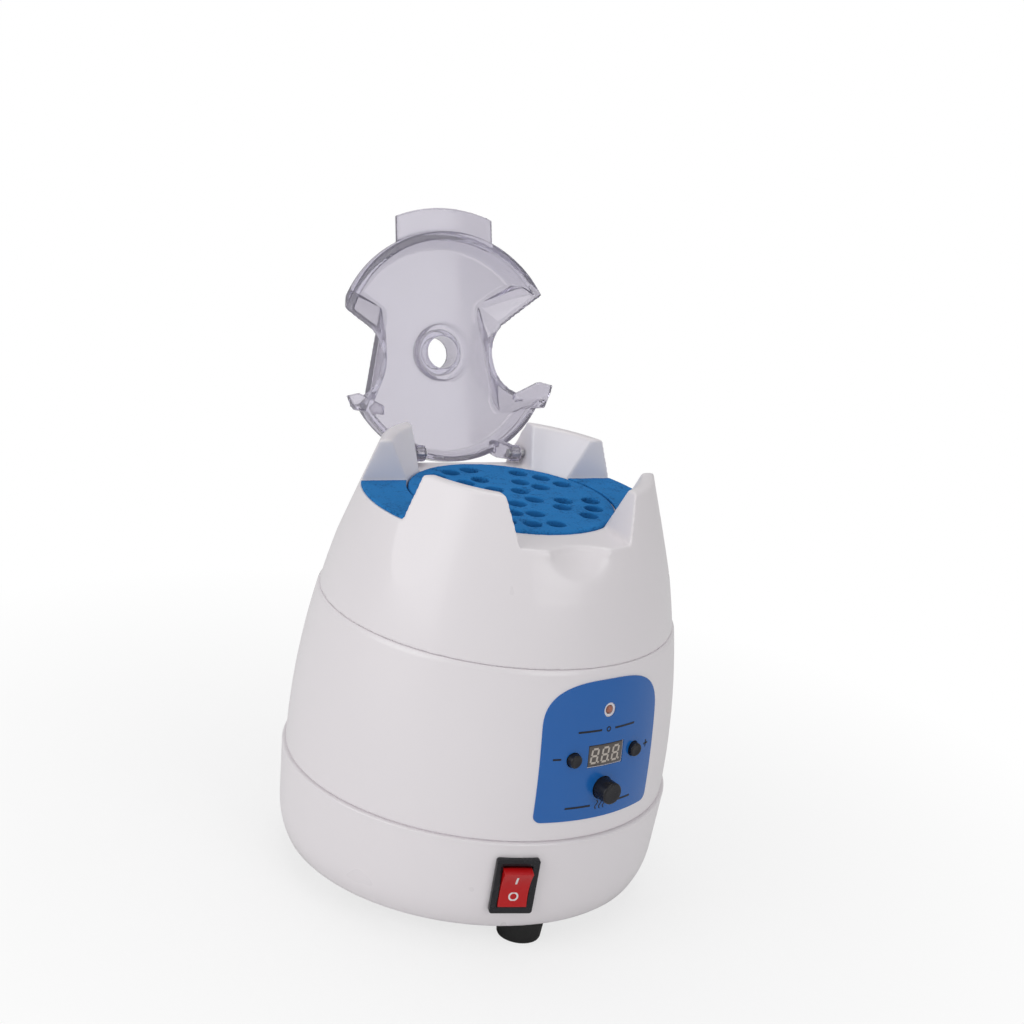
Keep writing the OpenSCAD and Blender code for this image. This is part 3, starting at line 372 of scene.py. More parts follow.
def fill_surface_group(group):
    """Clouds of colour and gloss, a fine grain and worn edges, all on object coordinates."""
    make = group.nodes.new
    link = group.links.new
    given = make("NodeGroupInput")
    result = make("NodeGroupOutput")
    place = make("ShaderNodeTexCoord")
    clouds = make("ShaderNodeTexNoise")
    clouds.inputs["Detail"].default_value = 3
    grain = make("ShaderNodeTexNoise")
    grain.inputs["Detail"].default_value = 2
    blend = make("ShaderNodeMix")
    blend.data_type = "RGBA"
    gloss = make("ShaderNodeMapRange")
    gloss.interpolation_type = "SMOOTHSTEP"
    gloss.inputs["From Min"].default_value = 0.15
    gloss.inputs["From Max"].default_value = 0.85
    rounded = make("ShaderNodeBevel")
    rounded.samples = 4
    rounded.inputs["Radius"].default_value = EDGE_WIDTH * MM
    real = make("ShaderNodeNewGeometry")
    likeness = make("ShaderNodeVectorMath")
    likeness.operation = "DOT_PRODUCT"
    edge = make("ShaderNodeMapRange")
    edge.inputs["From Min"].default_value = 0.985
    edge.inputs["From Max"].default_value = 0.8
    patches = make("ShaderNodeMath")
    patches.operation = "MULTIPLY"
    wear = make("ShaderNodeMath")
    wear.operation = "MULTIPLY"
    wear.use_clamp = True
    worn = make("ShaderNodeMix")
    worn.data_type = "RGBA"
    rubbed = make("ShaderNodeMath")
    rubbed.operation = "MULTIPLY_ADD"
    rubbed.inputs[1].default_value = EDGE_RUB
    link(rounded.outputs["Normal"], likeness.inputs[0])
    link(real.outputs["Normal"], likeness.inputs[1])
    link(likeness.outputs["Value"], edge.inputs["Value"])
    link(edge.outputs["Result"], patches.inputs[0])
    link(clouds.outputs["Fac"], patches.inputs[1])
    link(patches.outputs["Value"], wear.inputs[0])
    link(given.outputs["Edge Wear"], wear.inputs[1])
    link(place.outputs["Object"], clouds.inputs["Vector"])
    link(place.outputs["Object"], grain.inputs["Vector"])
    link(given.outputs["Cloud Scale"], clouds.inputs["Scale"])
    link(given.outputs["Grain Scale"], grain.inputs["Scale"])
    link(clouds.outputs["Fac"], blend.inputs["Factor"])
    link(given.outputs["Colour"], blend.inputs[6])
    link(given.outputs["Second Colour"], blend.inputs[7])
    link(clouds.outputs["Fac"], gloss.inputs["Value"])
    link(given.outputs["Gloss Low"], gloss.inputs["To Min"])
    link(given.outputs["Gloss High"], gloss.inputs["To Max"])
    link(wear.outputs["Value"], worn.inputs["Factor"])
    link(blend.outputs[2], worn.inputs[6])
    link(given.outputs["Edge Colour"], worn.inputs[7])
    link(wear.outputs["Value"], rubbed.inputs[0])
    link(gloss.outputs["Result"], rubbed.inputs[2])
    link(worn.outputs[2], result.inputs["Colour"])
    link(rubbed.outputs["Value"], result.inputs["Roughness"])
    link(grain.outputs["Fac"], result.inputs["Height"])


fill_surface_group(surface_group)


# %% Material maker
def finish(name, colour, second, gloss, clouds=60, grain=900, bump=0.02, depth=0.05, edge=None,
           wear=0.5, **sockets):
    """A material on the shared surface group; sockets are set on the shader itself."""
    material = bpy.data.materials.new(name)
    material.use_nodes = True
    tree = material.node_tree
    shader = tree.nodes["Principled BSDF"]
    surface = tree.nodes.new("ShaderNodeGroup")
    surface.node_tree = surface_group
    surface.inputs["Colour"].default_value = (*colour, 1)
    surface.inputs["Second Colour"].default_value = (*second, 1)
    surface.inputs["Cloud Scale"].default_value = clouds
    surface.inputs["Grain Scale"].default_value = grain
    surface.inputs["Gloss Low"].default_value = gloss[0]
    surface.inputs["Gloss High"].default_value = gloss[1]
    surface.inputs["Edge Colour"].default_value = (*(edge or [0.7 * c + 0.1 for c in colour]), 1)
    surface.inputs["Edge Wear"].default_value = wear
    relief = tree.nodes.new("ShaderNodeBump")
    relief.inputs["Strength"].default_value = bump
    relief.inputs["Distance"].default_value = depth * MM
    tree.links.new(surface.outputs["Colour"], shader.inputs["Base Color"])
    tree.links.new(surface.outputs["Roughness"], shader.inputs["Roughness"])
    tree.links.new(surface.outputs["Height"], relief.inputs["Height"])
    tree.links.new(relief.outputs["Normal"], shader.inputs["Normal"])
    for label, value in sockets.items():
        shader.inputs[label.replace("_", " ")].default_value = value
    return material


# %% [markdown]
# The housing is white plastic with a soft gloss and a thin coat. The small parts are glossy or
# matt black, the feet are dull rubber, and what lies inside is steel, brass, aluminium and mica.
# Each pair of colours is close together, so the drift shows only as life in the surface.

# %% Plastics, rubber and metals
white_plastic = finish(
    "white_moulded_plastic", (0.80, 0.765, 0.79), (0.825, 0.787, 0.812), (0.26, 0.34), 25, 700,
    edge=(0.72, 0.69, 0.70), wear=0.35, Coat_Weight=0.2, Coat_Roughness=0.15,
)
white_satin = finish(
    "white_satin_plastic", (0.72, 0.70, 0.71), (0.76, 0.74, 0.75), (0.4, 0.5), 40, 900, 0.1,
)
black_gloss = finish(
    "black_gloss_plastic", (0.008, 0.008, 0.011), (0.013, 0.013, 0.017), (0.22, 0.34), 90, 900,
    0.05, edge=(0.05, 0.05, 0.055), Specular_IOR_Level=0.35,
)
black_matte = finish(
    "black_matte_plastic", (0.014, 0.014, 0.016), (0.024, 0.024, 0.027), (0.45, 0.6), 90, 1200, 0.2,
    edge=(0.06, 0.06, 0.062), Specular_IOR_Level=0.35,
)
black_rubber = finish(
    "black_rubber", (0.010, 0.010, 0.010), (0.02, 0.02, 0.02), (0.6, 0.8), 120, 1500, 0.4,
    edge=(0.05, 0.05, 0.05), Specular_IOR_Level=0.3,
)
red_plastic = finish(
    "red_rocker_plastic", (0.46, 0.006, 0.008), (0.52, 0.01, 0.012), (0.18, 0.26), 90, 900, 0.03,
    edge=(0.6, 0.12, 0.1), Specular_IOR_Level=0.3,
)
blue_film = finish(
    "blue_panel_film", (0.007, 0.112, 0.405), (0.010, 0.125, 0.435), (0.12, 0.22), 30, 500, 0.02,
    edge=(0.05, 0.16, 0.42), Specular_IOR_Level=0.5,
)
steel = finish(
    "zinc_plated_steel", (0.5, 0.5, 0.51), (0.62, 0.62, 0.62), (0.25, 0.4), 300, 1500, 0.1,
    edge=(0.8, 0.8, 0.8), Metallic=1,
)
brass = finish(
    "brass", (0.62, 0.42, 0.16), (0.72, 0.52, 0.22), (0.25, 0.35), 300, 1500, 0.1,
    edge=(0.85, 0.68, 0.35), Metallic=1,
)
aluminium = finish(
    "aluminium", (0.6, 0.61, 0.62), (0.7, 0.7, 0.71), (0.3, 0.45), 200, 1500, 0.15,
    edge=(0.85, 0.85, 0.86), Metallic=1,
)
mica = finish("mica_board", (0.42, 0.32, 0.16), (0.55, 0.44, 0.26), (0.4, 0.6), 200, 1500, 0.2)
board_green = finish(
    "lacquered_board", (0.01, 0.11, 0.03), (0.015, 0.15, 0.05), (0.2, 0.35), 300, 1500, 0.1,
)
winding_brown = finish(
    "motor_can", (0.16, 0.08, 0.03), (0.24, 0.12, 0.05), (0.3, 0.45), 300, 1500, 0.1,
)
relay_blue = finish(
    "relay_case", (0.02, 0.1, 0.35), (0.03, 0.13, 0.4), (0.3, 0.4), 200, 1500, 0.1,
)
terminal_green = finish(
    "terminal_case", (0.02, 0.2, 0.07), (0.03, 0.25, 0.1), (0.35, 0.45), 200, 1500, 0.1,
)
print("materials:", len(bpy.data.materials))

# %% [markdown]
# The pad is open foam. Seen close up it is a field of tiny pores, with shade painted into its
# colour where they are deep, so a cell pattern drives both its colour and its height.

# %% Foam
def foam_material(name, pore_shade, light):
    """Open-celled foam: Voronoi pores with painted shade in them, uneven dye from noise."""
    material = bpy.data.materials.new(name)
    material.use_nodes = True
    tree = material.node_tree
    make = tree.nodes.new
    link = tree.links.new
    shader = tree.nodes["Principled BSDF"]
    place = make("ShaderNodeTexCoord")
    pores = make("ShaderNodeTexVoronoi")
    pores.inputs["Scale"].default_value = 1100
    dye = make("ShaderNodeTexNoise")
    dye.inputs["Scale"].default_value = 260
    dye.inputs["Detail"].default_value = 6
    # the ramp's dark end is painted shade in the pores; the dye noise moves along it too
    ramp = make("ShaderNodeValToRGB")
    ramp.color_ramp.elements[0].position = 0.25
    ramp.color_ramp.elements[0].color = (*pore_shade, 1)
    ramp.color_ramp.elements[1].position = 0.7
    ramp.color_ramp.elements[1].color = (*light, 1)
    mixed = make("ShaderNodeMath")
    mixed.operation = "MULTIPLY_ADD"
    mixed.inputs[1].default_value = 0.45
    relief = make("ShaderNodeBump")
    relief.inputs["Strength"].default_value = 0.6
    relief.inputs["Distance"].default_value = 0.4 * MM
    rough = make("ShaderNodeMapRange")
    rough.inputs["To Min"].default_value = 0.8
    rough.inputs["To Max"].default_value = 0.98
    link(place.outputs["Object"], pores.inputs["Vector"])
    link(place.outputs["Object"], dye.inputs["Vector"])
    link(pores.outputs["Distance"], mixed.inputs[0])
    link(dye.outputs["Fac"], mixed.inputs[2])
    link(mixed.outputs["Value"], ramp.inputs["Fac"])
    link(mixed.outputs["Value"], relief.inputs["Height"])
    link(dye.outputs["Fac"], rough.inputs["Value"])
    link(ramp.outputs["Color"], shader.inputs["Base Color"])
    link(rough.outputs["Result"], shader.inputs["Roughness"])
    link(relief.outputs["Normal"], shader.inputs["Normal"])
    shader.inputs["Specular IOR Level"].default_value = 0.15
    return material


# the first colour is the painted shade in the pores, the second the foam's own blue
blue_foam = foam_material("blue_foam", (0.004, 0.057, 0.18), (0.022, 0.192, 0.50))

# %% [markdown]
# The lid is clear plastic with a faint violet tint. Light passes through it and bends at its
# rounded edges, which is why those look darker and brighter than its flat plate.

# %% Clear plastics
CLEARNESS = 0.8         # the rest is a milky share that shows the tint
ACRYLIC_IOR = 1.49
TINT_DENSITY = 35       # per metre of plastic


def clear_material(name, colour, thick, gloss):
    """Clear plastic: plain transmission, uneven gloss, and a tint that grows with thickness."""
    material = finish(name, colour, colour, gloss, 40, 300, 0.02, wear=0.3)
    tree = material.node_tree
    shader = tree.nodes["Principled BSDF"]
    for old in list(shader.inputs["Base Color"].links):
        tree.links.remove(old)
    shader.inputs["Base Color"].default_value = (*colour, 1)
    shader.inputs["Transmission Weight"].default_value = CLEARNESS
    shader.inputs["IOR"].default_value = ACRYLIC_IOR
    tint = tree.nodes.new("ShaderNodeVolumeAbsorption")
    tint.inputs["Color"].default_value = (*thick, 1)
    tint.inputs["Density"].default_value = TINT_DENSITY
    output = tree.nodes["Material Output"]
    tree.links.new(tint.outputs["Volume"], output.inputs["Volume"])
    return material


clear_lid = clear_material(
    "clear_lid_plastic", (0.63, 0.605, 0.665), (0.62, 0.6, 0.86), (0.03, 0.08)
)

# %% [markdown]
# The display window is smoked plastic and the lamp's lens is tinted. Both hide what is behind
# them, so opaque glossy plastic looks right and renders fast. Printing ink is nearly matt.

# %% Display, lamp and print
window_plastic = finish(
    "display_window_plastic", (0.085, 0.072, 0.066), (0.11, 0.093, 0.085), (0.1, 0.16), 200, 900,
    0.02,
)
digit_plastic = finish(
    "pale_segments", (0.50, 0.45, 0.40), (0.56, 0.50, 0.45), (0.35, 0.45), 400, 1500, 0.05,
)
led_plastic = finish(
    "led_lens", (0.33, 0.12, 0.085), (0.40, 0.16, 0.11), (0.08, 0.14), 300, 900, 0.02,
)
dark_print = finish(
    "dark_print", (0.008, 0.010, 0.016), (0.014, 0.016, 0.024), (0.35, 0.5), 400, 1500, 0.05,
    edge=(0.03, 0.04, 0.07), Specular_IOR_Level=0.3,
)
white_print = finish(
    "white_print", (0.74, 0.70, 0.70), (0.80, 0.76, 0.76), (0.3, 0.45), 400, 1500, 0.05,
)


# %% Helper that hands a piece over
def hand_over(piece, body, material, stands_for=()):
    """Gives a piece its material and its body, and hides the CAD nodes that it stands for."""
    piece.data.materials.clear()
    piece.data.materials.append(material)
    for face in piece.data.polygons:
        face.material_index = 0
    if stands_for:
        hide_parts(*stands_for)
    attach(piece, body)
    return piece


# %% [markdown]
# ## The housing
# The base and the middle ring are turned shapes with a wall, so each is one outline spun round
# the axis. Rounding the outline's corners gives the seams their soft lines. Openings are then cut.

# %% Base ring
def seat(azimuth, distance, height, lean=0.0):
    """The frame of something that sits flat on the wall, facing out."""
    lean_turn = Matrix.Rotation(lean, 4, "X")
    return facing(azimuth) @ shift(0, -distance, height) @ lean_turn @ shift(0, distance, 0)


WALL = 2.6
CUTTER = 20             # long enough to go right through a wall
CUTTER_OUT = 66         # from the axis to a cutter's middle
SEAM_ROUND = 0.8        # the rounding of the base's upper rim
SWITCH_Z = 18.6
WALL_LEAN = math.atan(BASE_TAPER / BASE_TOP)
BEZEL_BACK = base_r(SWITCH_Z) - 0.5
switch_seat = seat(SWITCH_AZ, BEZEL_BACK, SWITCH_Z, WALL_LEAN)

# the outside from the foot up, the rim, the inside, and the ledge that holds the bottom plate
base_outline = [(60.3, 0), (base_r(0.5) - 0.6, 0)]
base_outline += [(base_r(z), z) for z in steps(0.6, BASE_TOP - SEAM_ROUND, 36)]
base_outline += corner((69.2, BASE_TOP - SEAM_ROUND), SEAM_ROUND, 10, 90)
base_outline += [(67.4, BASE_TOP), (67.2, 30), (66.2, 20), (64.8, 8), (62.4, 5.5)]
base_outline += [(52, 5.5), (52, 2.5), (60.3, 2.5)]
base_ring = turned("base_ring", base_outline, RING_TURNS)
switch_hole = block("switch_hole", (13.4, CUTTER, 19.2), (0, -CUTTER_OUT, 0))
settle(switch_hole, switch_seat)
inlet_hole = block("inlet_hole", (27.6, CUTTER, 19.6), (0, -64, SWITCH_Z))
settle(inlet_hole, facing(180))
cut(base_ring, switch_hole, inlet_hole)
smooth(base_ring, 40)
hand_over(base_ring, "housing", white_plastic, ["base_shell"])
print("base ring:", len(base_ring.data.polygons), "faces")

# %% [markdown]
# The middle ring sits in the base ring on a short collar, and its wall leans in towards the top.
# The holes for the buttons, the lamp and the display can't come from the spin, which makes only
# what is the same all the way round, so they are cut afterwards.

# %% Middle ring
BAND_ROUND = 0.7        # the rounding of the ring's upper rim
BUTTON_Z = 63.9
STEP_X = 13.2
HEAT_Z = 52.4
LED_Z = 80.0
DISPLAY_Z = 64.4
panel = facing(PANEL_AZ)
button_holes = [(-STEP_X, BUTTON_Z, 2.7), (STEP_X, BUTTON_Z, 2.7), (0, HEAT_Z, 4.2)]


def drill(piece, holes):
    """Cuts round holes in the panel's field, each given as across, height and radius."""
    for hole_x, hole_z, hole_r in holes:
        hole = rod("drilled_hole", hole_r, CUTTER)
        settle(hole, panel @ shift(hole_x, -CUTTER_OUT, hole_z) @ OUTWARDS)
        cut(piece, hole)


def cut_window(piece, width, height):
    """Cuts the display's opening."""
    hole = block("window_hole", (width, CUTTER, height), (0, -CUTTER_OUT, DISPLAY_Z))
    cut(piece, settle(hole, panel))


# the collar, the outside, the rim and the inside
band_outline = [(65.9, 30.2), (67.0, 30.2), (67.0, BASE_TOP), (68.1, BASE_TOP)]
band_outline += [(band_r(z), z) for z in steps(34.8, BAND_TOP - BAND_ROUND, 48)]
band_outline += corner((63.1, BAND_TOP - BAND_ROUND), BAND_ROUND, 10, 90)
band_outline += [(61.2, BAND_TOP)]
band_outline += [(band_r(z) - WALL, z) for z in steps(BAND_TOP - 1, 36, 12)]
middle_ring = turned("middle_ring", band_outline, RING_TURNS)
drill(middle_ring, button_holes + [(0, LED_Z, 1.6)])
cut_window(middle_ring, 15, 7.6)
smooth(middle_ring, 40)
hand_over(middle_ring, "housing", white_plastic, ["middle_band"])
print("middle ring:", len(middle_ring.data.polygons), "faces")

# %% [markdown]
# The dome ends in four lugs with rounded rims. Its shape is already right in the CAD model, but
# its edges are knife-sharp. Remeshing a copy with small voxels and smoothing it a little rounds
# every edge at once, as a mould does.

# %% Dome
def melted(node, name, voxel, rounds):
    """A copy of a CAD piece, remeshed with small voxels and smoothed."""
    piece = copy_of(node, name)
    # the CAD mesh brings stored normals, which no longer fit once the faces are new
    bpy.ops.mesh.customdata_custom_splitnormals_clear()
    piece.data.remesh_voxel_size = voxel * MM
    bpy.ops.object.voxel_remesh()
    use_modifier(piece, "SMOOTH", factor=0.5, iterations=rounds)
    pick(piece)
    bpy.ops.object.shade_smooth()
    return piece


SCOOP_HALF = 17         # half the width of what is smoothed round the thumb scoop
SCOOP_FRONT = -47
SCOOP_LOW = 116
SCOOP_HIGH = 130.5
SCOOP_ROUNDS = 180
DOME_SHARE = 0.62       # the share of faces that stays

dome = melted("top_dome", "dome", 0.7, 8)
# the thumb scoop is a soft hollow without a sharp edge: its surroundings are smoothed further
around_scoop = []
for vertex in dome.data.vertices:
    x, y, z = (c / MM for c in vertex.co)
    if abs(x) < SCOOP_HALF and y < SCOOP_FRONT and SCOOP_LOW < z < SCOOP_HIGH:
        around_scoop.append(vertex.index)
dome.vertex_groups.new(name="scoop").add(around_scoop, 1.0, "REPLACE")
use_modifier(dome, "SMOOTH", factor=0.5, iterations=SCOOP_ROUNDS, vertex_group="scoop")
use_modifier(dome, "DECIMATE", ratio=DOME_SHARE)
smooth(dome, 60)
print("points smoothed round the scoop:", len(around_scoop))
hand_over(dome, "housing", white_plastic, ["top_dome"])
print("dome:", len(dome.data.polygons), "faces")

# %% [markdown]
# The bottom plate carries the air slots, and the device stands on three rubber feet. They could
# be drawn anew, but a bevel on a merged copy of the CAD piece gives the same soft edges.

# %% Bottom plate and feet
bottom = softened("bottom_plate", "bottom_plate_soft", 0.25)
hand_over(bottom, "housing", white_satin, ["bottom_plate"])
feet = softened("rubber_feet", "feet", 0.7)
hand_over(feet, "housing", black_rubber, ["rubber_feet"])

# %% [markdown]
# ## The pad
# The pad is a disc of foam with thirty punched holes, in five fans of six. A rod shape is cut
# with thin rods, and then remeshed, so that the foam's edges turn softly into the holes. Two ears
# of the same foam fill the side notches.

# %% Foam pad
PAD_R = 36.6
PAD_BOTTOM = 125.5
PAD_TOP = 133.5
PAD_MIDDLE = (PAD_TOP + PAD_BOTTOM) / 2
PUNCH_R = 3.4
foam_pad = rod("foam_disc", PAD_R - 0.1, PAD_TOP - PAD_BOTTOM - 0.3, (0, 0, PAD_MIDDLE), 128)
round_edges(foam_pad, 1.0, 3)
hole_places = [(8.0, 0)]
hole_places += [(18.5, side * 12) for side in (-1, 1)]
hole_places += [(29.0, side * 17.5) for side in (-1, 0, 1)]
for fan in range(5):
    for distance, angle in hole_places:
        turn = math.radians(60 + 72 * fan + angle)
        centre = (distance * math.sin(turn), -distance * math.cos(turn), PAD_MIDDLE)
        cut(foam_pad, rod("pad_punch", PUNCH_R, CUTTER, centre, 32))


def make_foamy(piece, voxel=0.6, lumps=0.2):
    """Rounds a foam piece and gives its skin small lumps."""
    pick(piece)
    bpy.ops.mesh.customdata_custom_splitnormals_clear()
    piece.data.remesh_voxel_size = voxel * MM
    bpy.ops.object.voxel_remesh()
    use_modifier(piece, "SMOOTH", factor=0.5, iterations=3)
    lump_texture = bpy.data.textures.new("foam_lumps", "CLOUDS")
    lump_texture.noise_scale = 1.6 * MM
    height = lumps * MM
    use_modifier(piece, "DISPLACE", texture=lump_texture, strength=height, texture_coords="LOCAL")
    pick(piece)
    bpy.ops.object.shade_smooth()
    return piece


make_foamy(foam_pad)
hand_over(foam_pad, "housing", blue_foam, ["foam_pad"])
for side in ("left", "right"):
    ear = copy_of("pad_ear_" + side, "foam_ear_" + side)
    make_foamy(ear, 0.4, 0.12)
    hand_over(ear, "housing", blue_foam, ["pad_ear_" + side])

# %% [markdown]
# ## The lid
# One clear moulding: a shallow cap with a rim, a tab to lift it by, two side notches and two
# arms on steel pins. Small voxels keep its thin walls, and smoothing rounds its edges.

# %% Lid
lid = melted("lid", "clear_lid", 0.5, 5)
hand_over(lid, "lid", clear_lid, ["lid"])
print("lid:", len(lid.data.polygons), "faces")

# %% [markdown]
# ## The control panel
# A blue film follows the ring's curve. On it sit a lamp, a display and three round buttons. The
# signs are kept to what any such device may carry: minus, plus, plain rules and heat waves.

# %% Panel film
LABEL_Z = 41.6
LABEL_W = 49.6
LABEL_H = 49.0
ARCH = 16.8             # height of the arched top
ARCH_POWER = 2 / 2.7    # 1 would be an ellipse; less is squarer
LABEL_ROUND = 2.5       # the lower corners
FILM_SWEEP = 60         # the film is cut out of this many degrees of shell

low = LABEL_Z - 1
high = LABEL_Z + LABEL_H + 1
film_outline = [(band_r(z) + LABEL_T, z) for z in steps(low, high, 40)]
film_outline += [(band_r(z) + 0.02, z) for z in steps(high, low, 40)]
film = turned("panel_film", film_outline, 80, FILM_SWEEP)
settle(film, facing(PANEL_AZ + FILM_SWEEP / 2 - 90))
plan = corner((LABEL_ROUND - LABEL_W / 2, LABEL_ROUND), LABEL_ROUND, 180, 270, 6)
plan += corner((LABEL_W / 2 - LABEL_ROUND, LABEL_ROUND), LABEL_ROUND, 270, 360, 6)
for turn in steps(0, 180, 40):
    across = math.cos(math.radians(turn))
    up = max(0.0, math.sin(math.radians(turn)))
    reach = math.copysign(LABEL_W / 2 * abs(across) ** ARCH_POWER, across)
    plan.append((reach, LABEL_H - ARCH + ARCH * up ** ARCH_POWER))
shape = slab("label_shape", [(x, z + LABEL_Z) for x, z in plan], -80, -40)
settle(shape, panel)
use_modifier(film, "BOOLEAN", operation="INTERSECT", solver="EXACT", object=shape)
bpy.data.objects.remove(shape)
drill(film, button_holes + [(0, LED_Z, 2.5)])
cut_window(film, 15.4, 8.0)
smooth(film, 30)
hand_over(film, "housing", blue_film, ["panel_label"])
print("film:", len(film.data.polygons), "faces")


def on_panel(azimuth, z, proud=0.0):
    """A frame on the panel's surface; azimuth is counted from the panel's middle."""
    lean_in = Matrix.Rotation(-band_lean(z), 4, "X")
    return facing(PANEL_AZ + azimuth) @ shift(0, -(band_r(z) + LABEL_T + proud), z) @ lean_in


def printed(piece, material, body="housing"):
    """A thin printed mark."""
    return hand_over(piece, body, material)


# %% [markdown]
# Ink is a very thin layer. It could be painted into the film's colour, but thin solids keep sharp
# edges from any distance. A long rule is turned about the axis, so that it follows the curve.

# %% Printed signs
INK = 0.12              # thickness of a sign
RULE_H = 0.7
RULE_Z = 73.4
HEAT_RULE_Z = 46.4
minus_sign = block("minus_sign", (3.0, INK, 0.65))
printed(settle(minus_sign, on_panel(-16.4, 64.4)), dark_print)
plus_across = block("plus_sign_across", (2.6, INK, 0.6))
printed(settle(plus_across, on_panel(17.3, 63.9)), dark_print)
plus_upright = block("plus_sign_upright", (0.6, INK, 2.6))
printed(settle(plus_upright, on_panel(17.3, 63.9)), dark_print)


def printed_rule(name, z, first, last):
    """A printed line that follows the panel's curve, between two azimuths."""
    inner = band_r(z) + LABEL_T - 0.05
    outer = band_r(z) + LABEL_T + 0.06
    outline = [(inner, z - RULE_H / 2), (outer, z - RULE_H / 2)]
    outline += [(outer, z + RULE_H / 2), (inner, z + RULE_H / 2)]
    rule = turned(name, outline, 24, last - first)
    settle(rule, facing(PANEL_AZ + last - 90))
    return printed(rule, dark_print)


printed_rule("rule_left", RULE_Z, -10.5, -2.5)
printed_rule("rule_right", RULE_Z, 2.5, 10.5)
printed_rule("heat_rule_left", HEAT_RULE_Z, -12.0, -3.6)
printed_rule("heat_rule_right", HEAT_RULE_Z, 3.6, 12.0)

# %% Heat waves and lamp sign
WAVE_SWING = 0.45
WAVE_H = 3.2


def wave_sign(name, azimuth, z, height):
    """A short upright wavy line."""
    line = bpy.data.curves.new(name, "CURVE")
    line.dimensions = "3D"
    line.bevel_depth = 0.22 * MM
    line.bevel_resolution = 2
    line.use_fill_caps = True
    spline = line.splines.new("POLY")
    points = steps(-1, 1, 16)
    spline.points.add(len(points) - 1)
    for point, t in zip(spline.points, points):
        point.co = (WAVE_SWING * math.sin(math.pi * t) * MM, 0, t * height / 2 * MM, 1)
    wave = bpy.data.objects.new(name, line)
    scene.collection.objects.link(wave)
    pick(wave)
    bpy.ops.object.convert(target="MESH")
    wave = bpy.context.object
    wave.scale = (1, 0.4, 1)
    return printed(settle(wave, on_panel(azimuth, z)), dark_print)


for number, azimuth in enumerate((-1.4, 0.0, 1.4)):
    wave_sign(f"heat_wave_{number}", azimuth, HEAT_RULE_Z, WAVE_H)
lamp_sign = turned("lamp_sign", [(0.55, -0.05), (0.95, -0.05), (0.95, 0.07), (0.55, 0.07)], 32)
printed(settle(lamp_sign, on_panel(0, RULE_Z) @ OUTWARDS), dark_print)

# %% [markdown]
# The display is a dark window with three digits that are off. Each digit is the same seven bars,
# so one digit is a loop over seven places, and the digits lean a little to the right.

# %% Display
window = softened("display_window", "window", 0.15)
hand_over(window, "housing", window_plastic, ["display_window"])

DIGIT_W = 2.5
DIGIT_H = 4.9
BAR = 0.7               # width of a bar
BAR_GAP = 0.55          # what a bar gives up to the gaps at its ends
BAR_T = 0.1
DIGIT_LEAN = 8          # degrees
DIGIT_STEP = 3.8        # degrees of azimuth from one digit to the next
DIGIT_SHIFT = -0.3
DIGIT_SINK = -0.19      # the digits lie in the window, below the film's face
bar_places = [
    (0, DIGIT_H / 2, True), (0, 0, True), (0, -DIGIT_H / 2, True),
    (-DIGIT_W / 2, DIGIT_H / 4, False), (DIGIT_W / 2, DIGIT_H / 4, False),
    (-DIGIT_W / 2, -DIGIT_H / 4, False), (DIGIT_W / 2, -DIGIT_H / 4, False),
]
lean = Matrix.Identity(4)
lean[0][2] = math.tan(math.radians(DIGIT_LEAN))
for digit in (-1, 0, 1):
    bars = []
    for number, (bar_x, bar_z, flat) in enumerate(bar_places):
        size = (BAR, BAR_T, DIGIT_H / 2 - BAR_GAP)
        if flat:
            size = (DIGIT_W - BAR_GAP, BAR_T, BAR)
        bar = block(f"bar_{digit}_{number}", size, (bar_x, 0, bar_z))
        bars.append(bar)
    dot = rod(f"dot_{digit}", BAR / 2, BAR_T, vertices=16)
    bars.append(settle(dot, shift(1.95, 0, -2.3) @ OUTWARDS))
    bpy.ops.object.select_all(action="DESELECT")
    for bar in bars:
        bar.select_set(True)
    bpy.context.view_layer.objects.active = bars[0]
    bpy.ops.object.join()
    segments = bpy.context.object
    segments.name = f"digit_{digit + 1}"
    place = on_panel(DIGIT_STEP * digit + DIGIT_SHIFT, DISPLAY_Z, DIGIT_SINK)
    settle(segments, place @ lean)
    hand_over(segments, "housing", digit_plastic)

# %% [markdown]
# The lamp is a small domed lens with a flange at its back. Each button is a stem that reaches the
# push switch, a flange that stays behind the wall, and a cap. Both are outlines that are turned,
# which keeps every rim round, and each button rides on its own body, so that it can be pressed.

# %% Lamp and buttons
LENS_R = 1.5
FLANGE_R = 1.8
lamp_face = band_r(LED_Z) - 0.6
lamp_outline = [(0, -9), (FLANGE_R, -9), (FLANGE_R, -7.8), (LENS_R, -7.8)]
lamp_outline += [(x, 0.93 * z) for x, z in corner((0, 0), LENS_R, 0, 84, 8)]
lamp_outline += [(0, 1.42)]
lamp = turned("lamp_lens", lamp_outline, 48)
settle(lamp, panel @ shift(0, -lamp_face, LED_Z) @ OUTWARDS)
smooth(lamp, 40)
hand_over(lamp, "housing", led_plastic, ["indicator_led"])

BOARD = 56.4            # from the housing's axis to the board behind the buttons
STEM_R = 1.4
STEM_BACK = BOARD + 2.4
CAP_BACK = BOARD + 5.3
FLANGE_OUT = 0.8
FLANGE_T = 0.9
CAP_ROUND = 0.6


def round_button(name, body, x, z, radius, out):
    """A turned push button: stem, flange, cap with a rounded rim and a slightly hollow face."""
    face = math.sqrt(band_r(z) ** 2 - x * x) + LABEL_T + out
    flange = radius + FLANGE_OUT
    outline = [(0, STEM_BACK), (STEM_R, STEM_BACK), (STEM_R, CAP_BACK), (flange, CAP_BACK)]
    outline += [(flange, CAP_BACK + FLANGE_T), (radius, CAP_BACK + FLANGE_T)]
    outline += corner((radius - CAP_ROUND, face - CAP_ROUND), CAP_ROUND, 0, 90)
    outline += [(radius * 0.55, face - 0.1), (0, face - 0.22)]
    button = turned(name, outline, 64)
    settle(button, panel @ shift(x, 0, z) @ OUTWARDS)
    smooth(button, 35)
    return hand_over(button, body, black_gloss, [body])


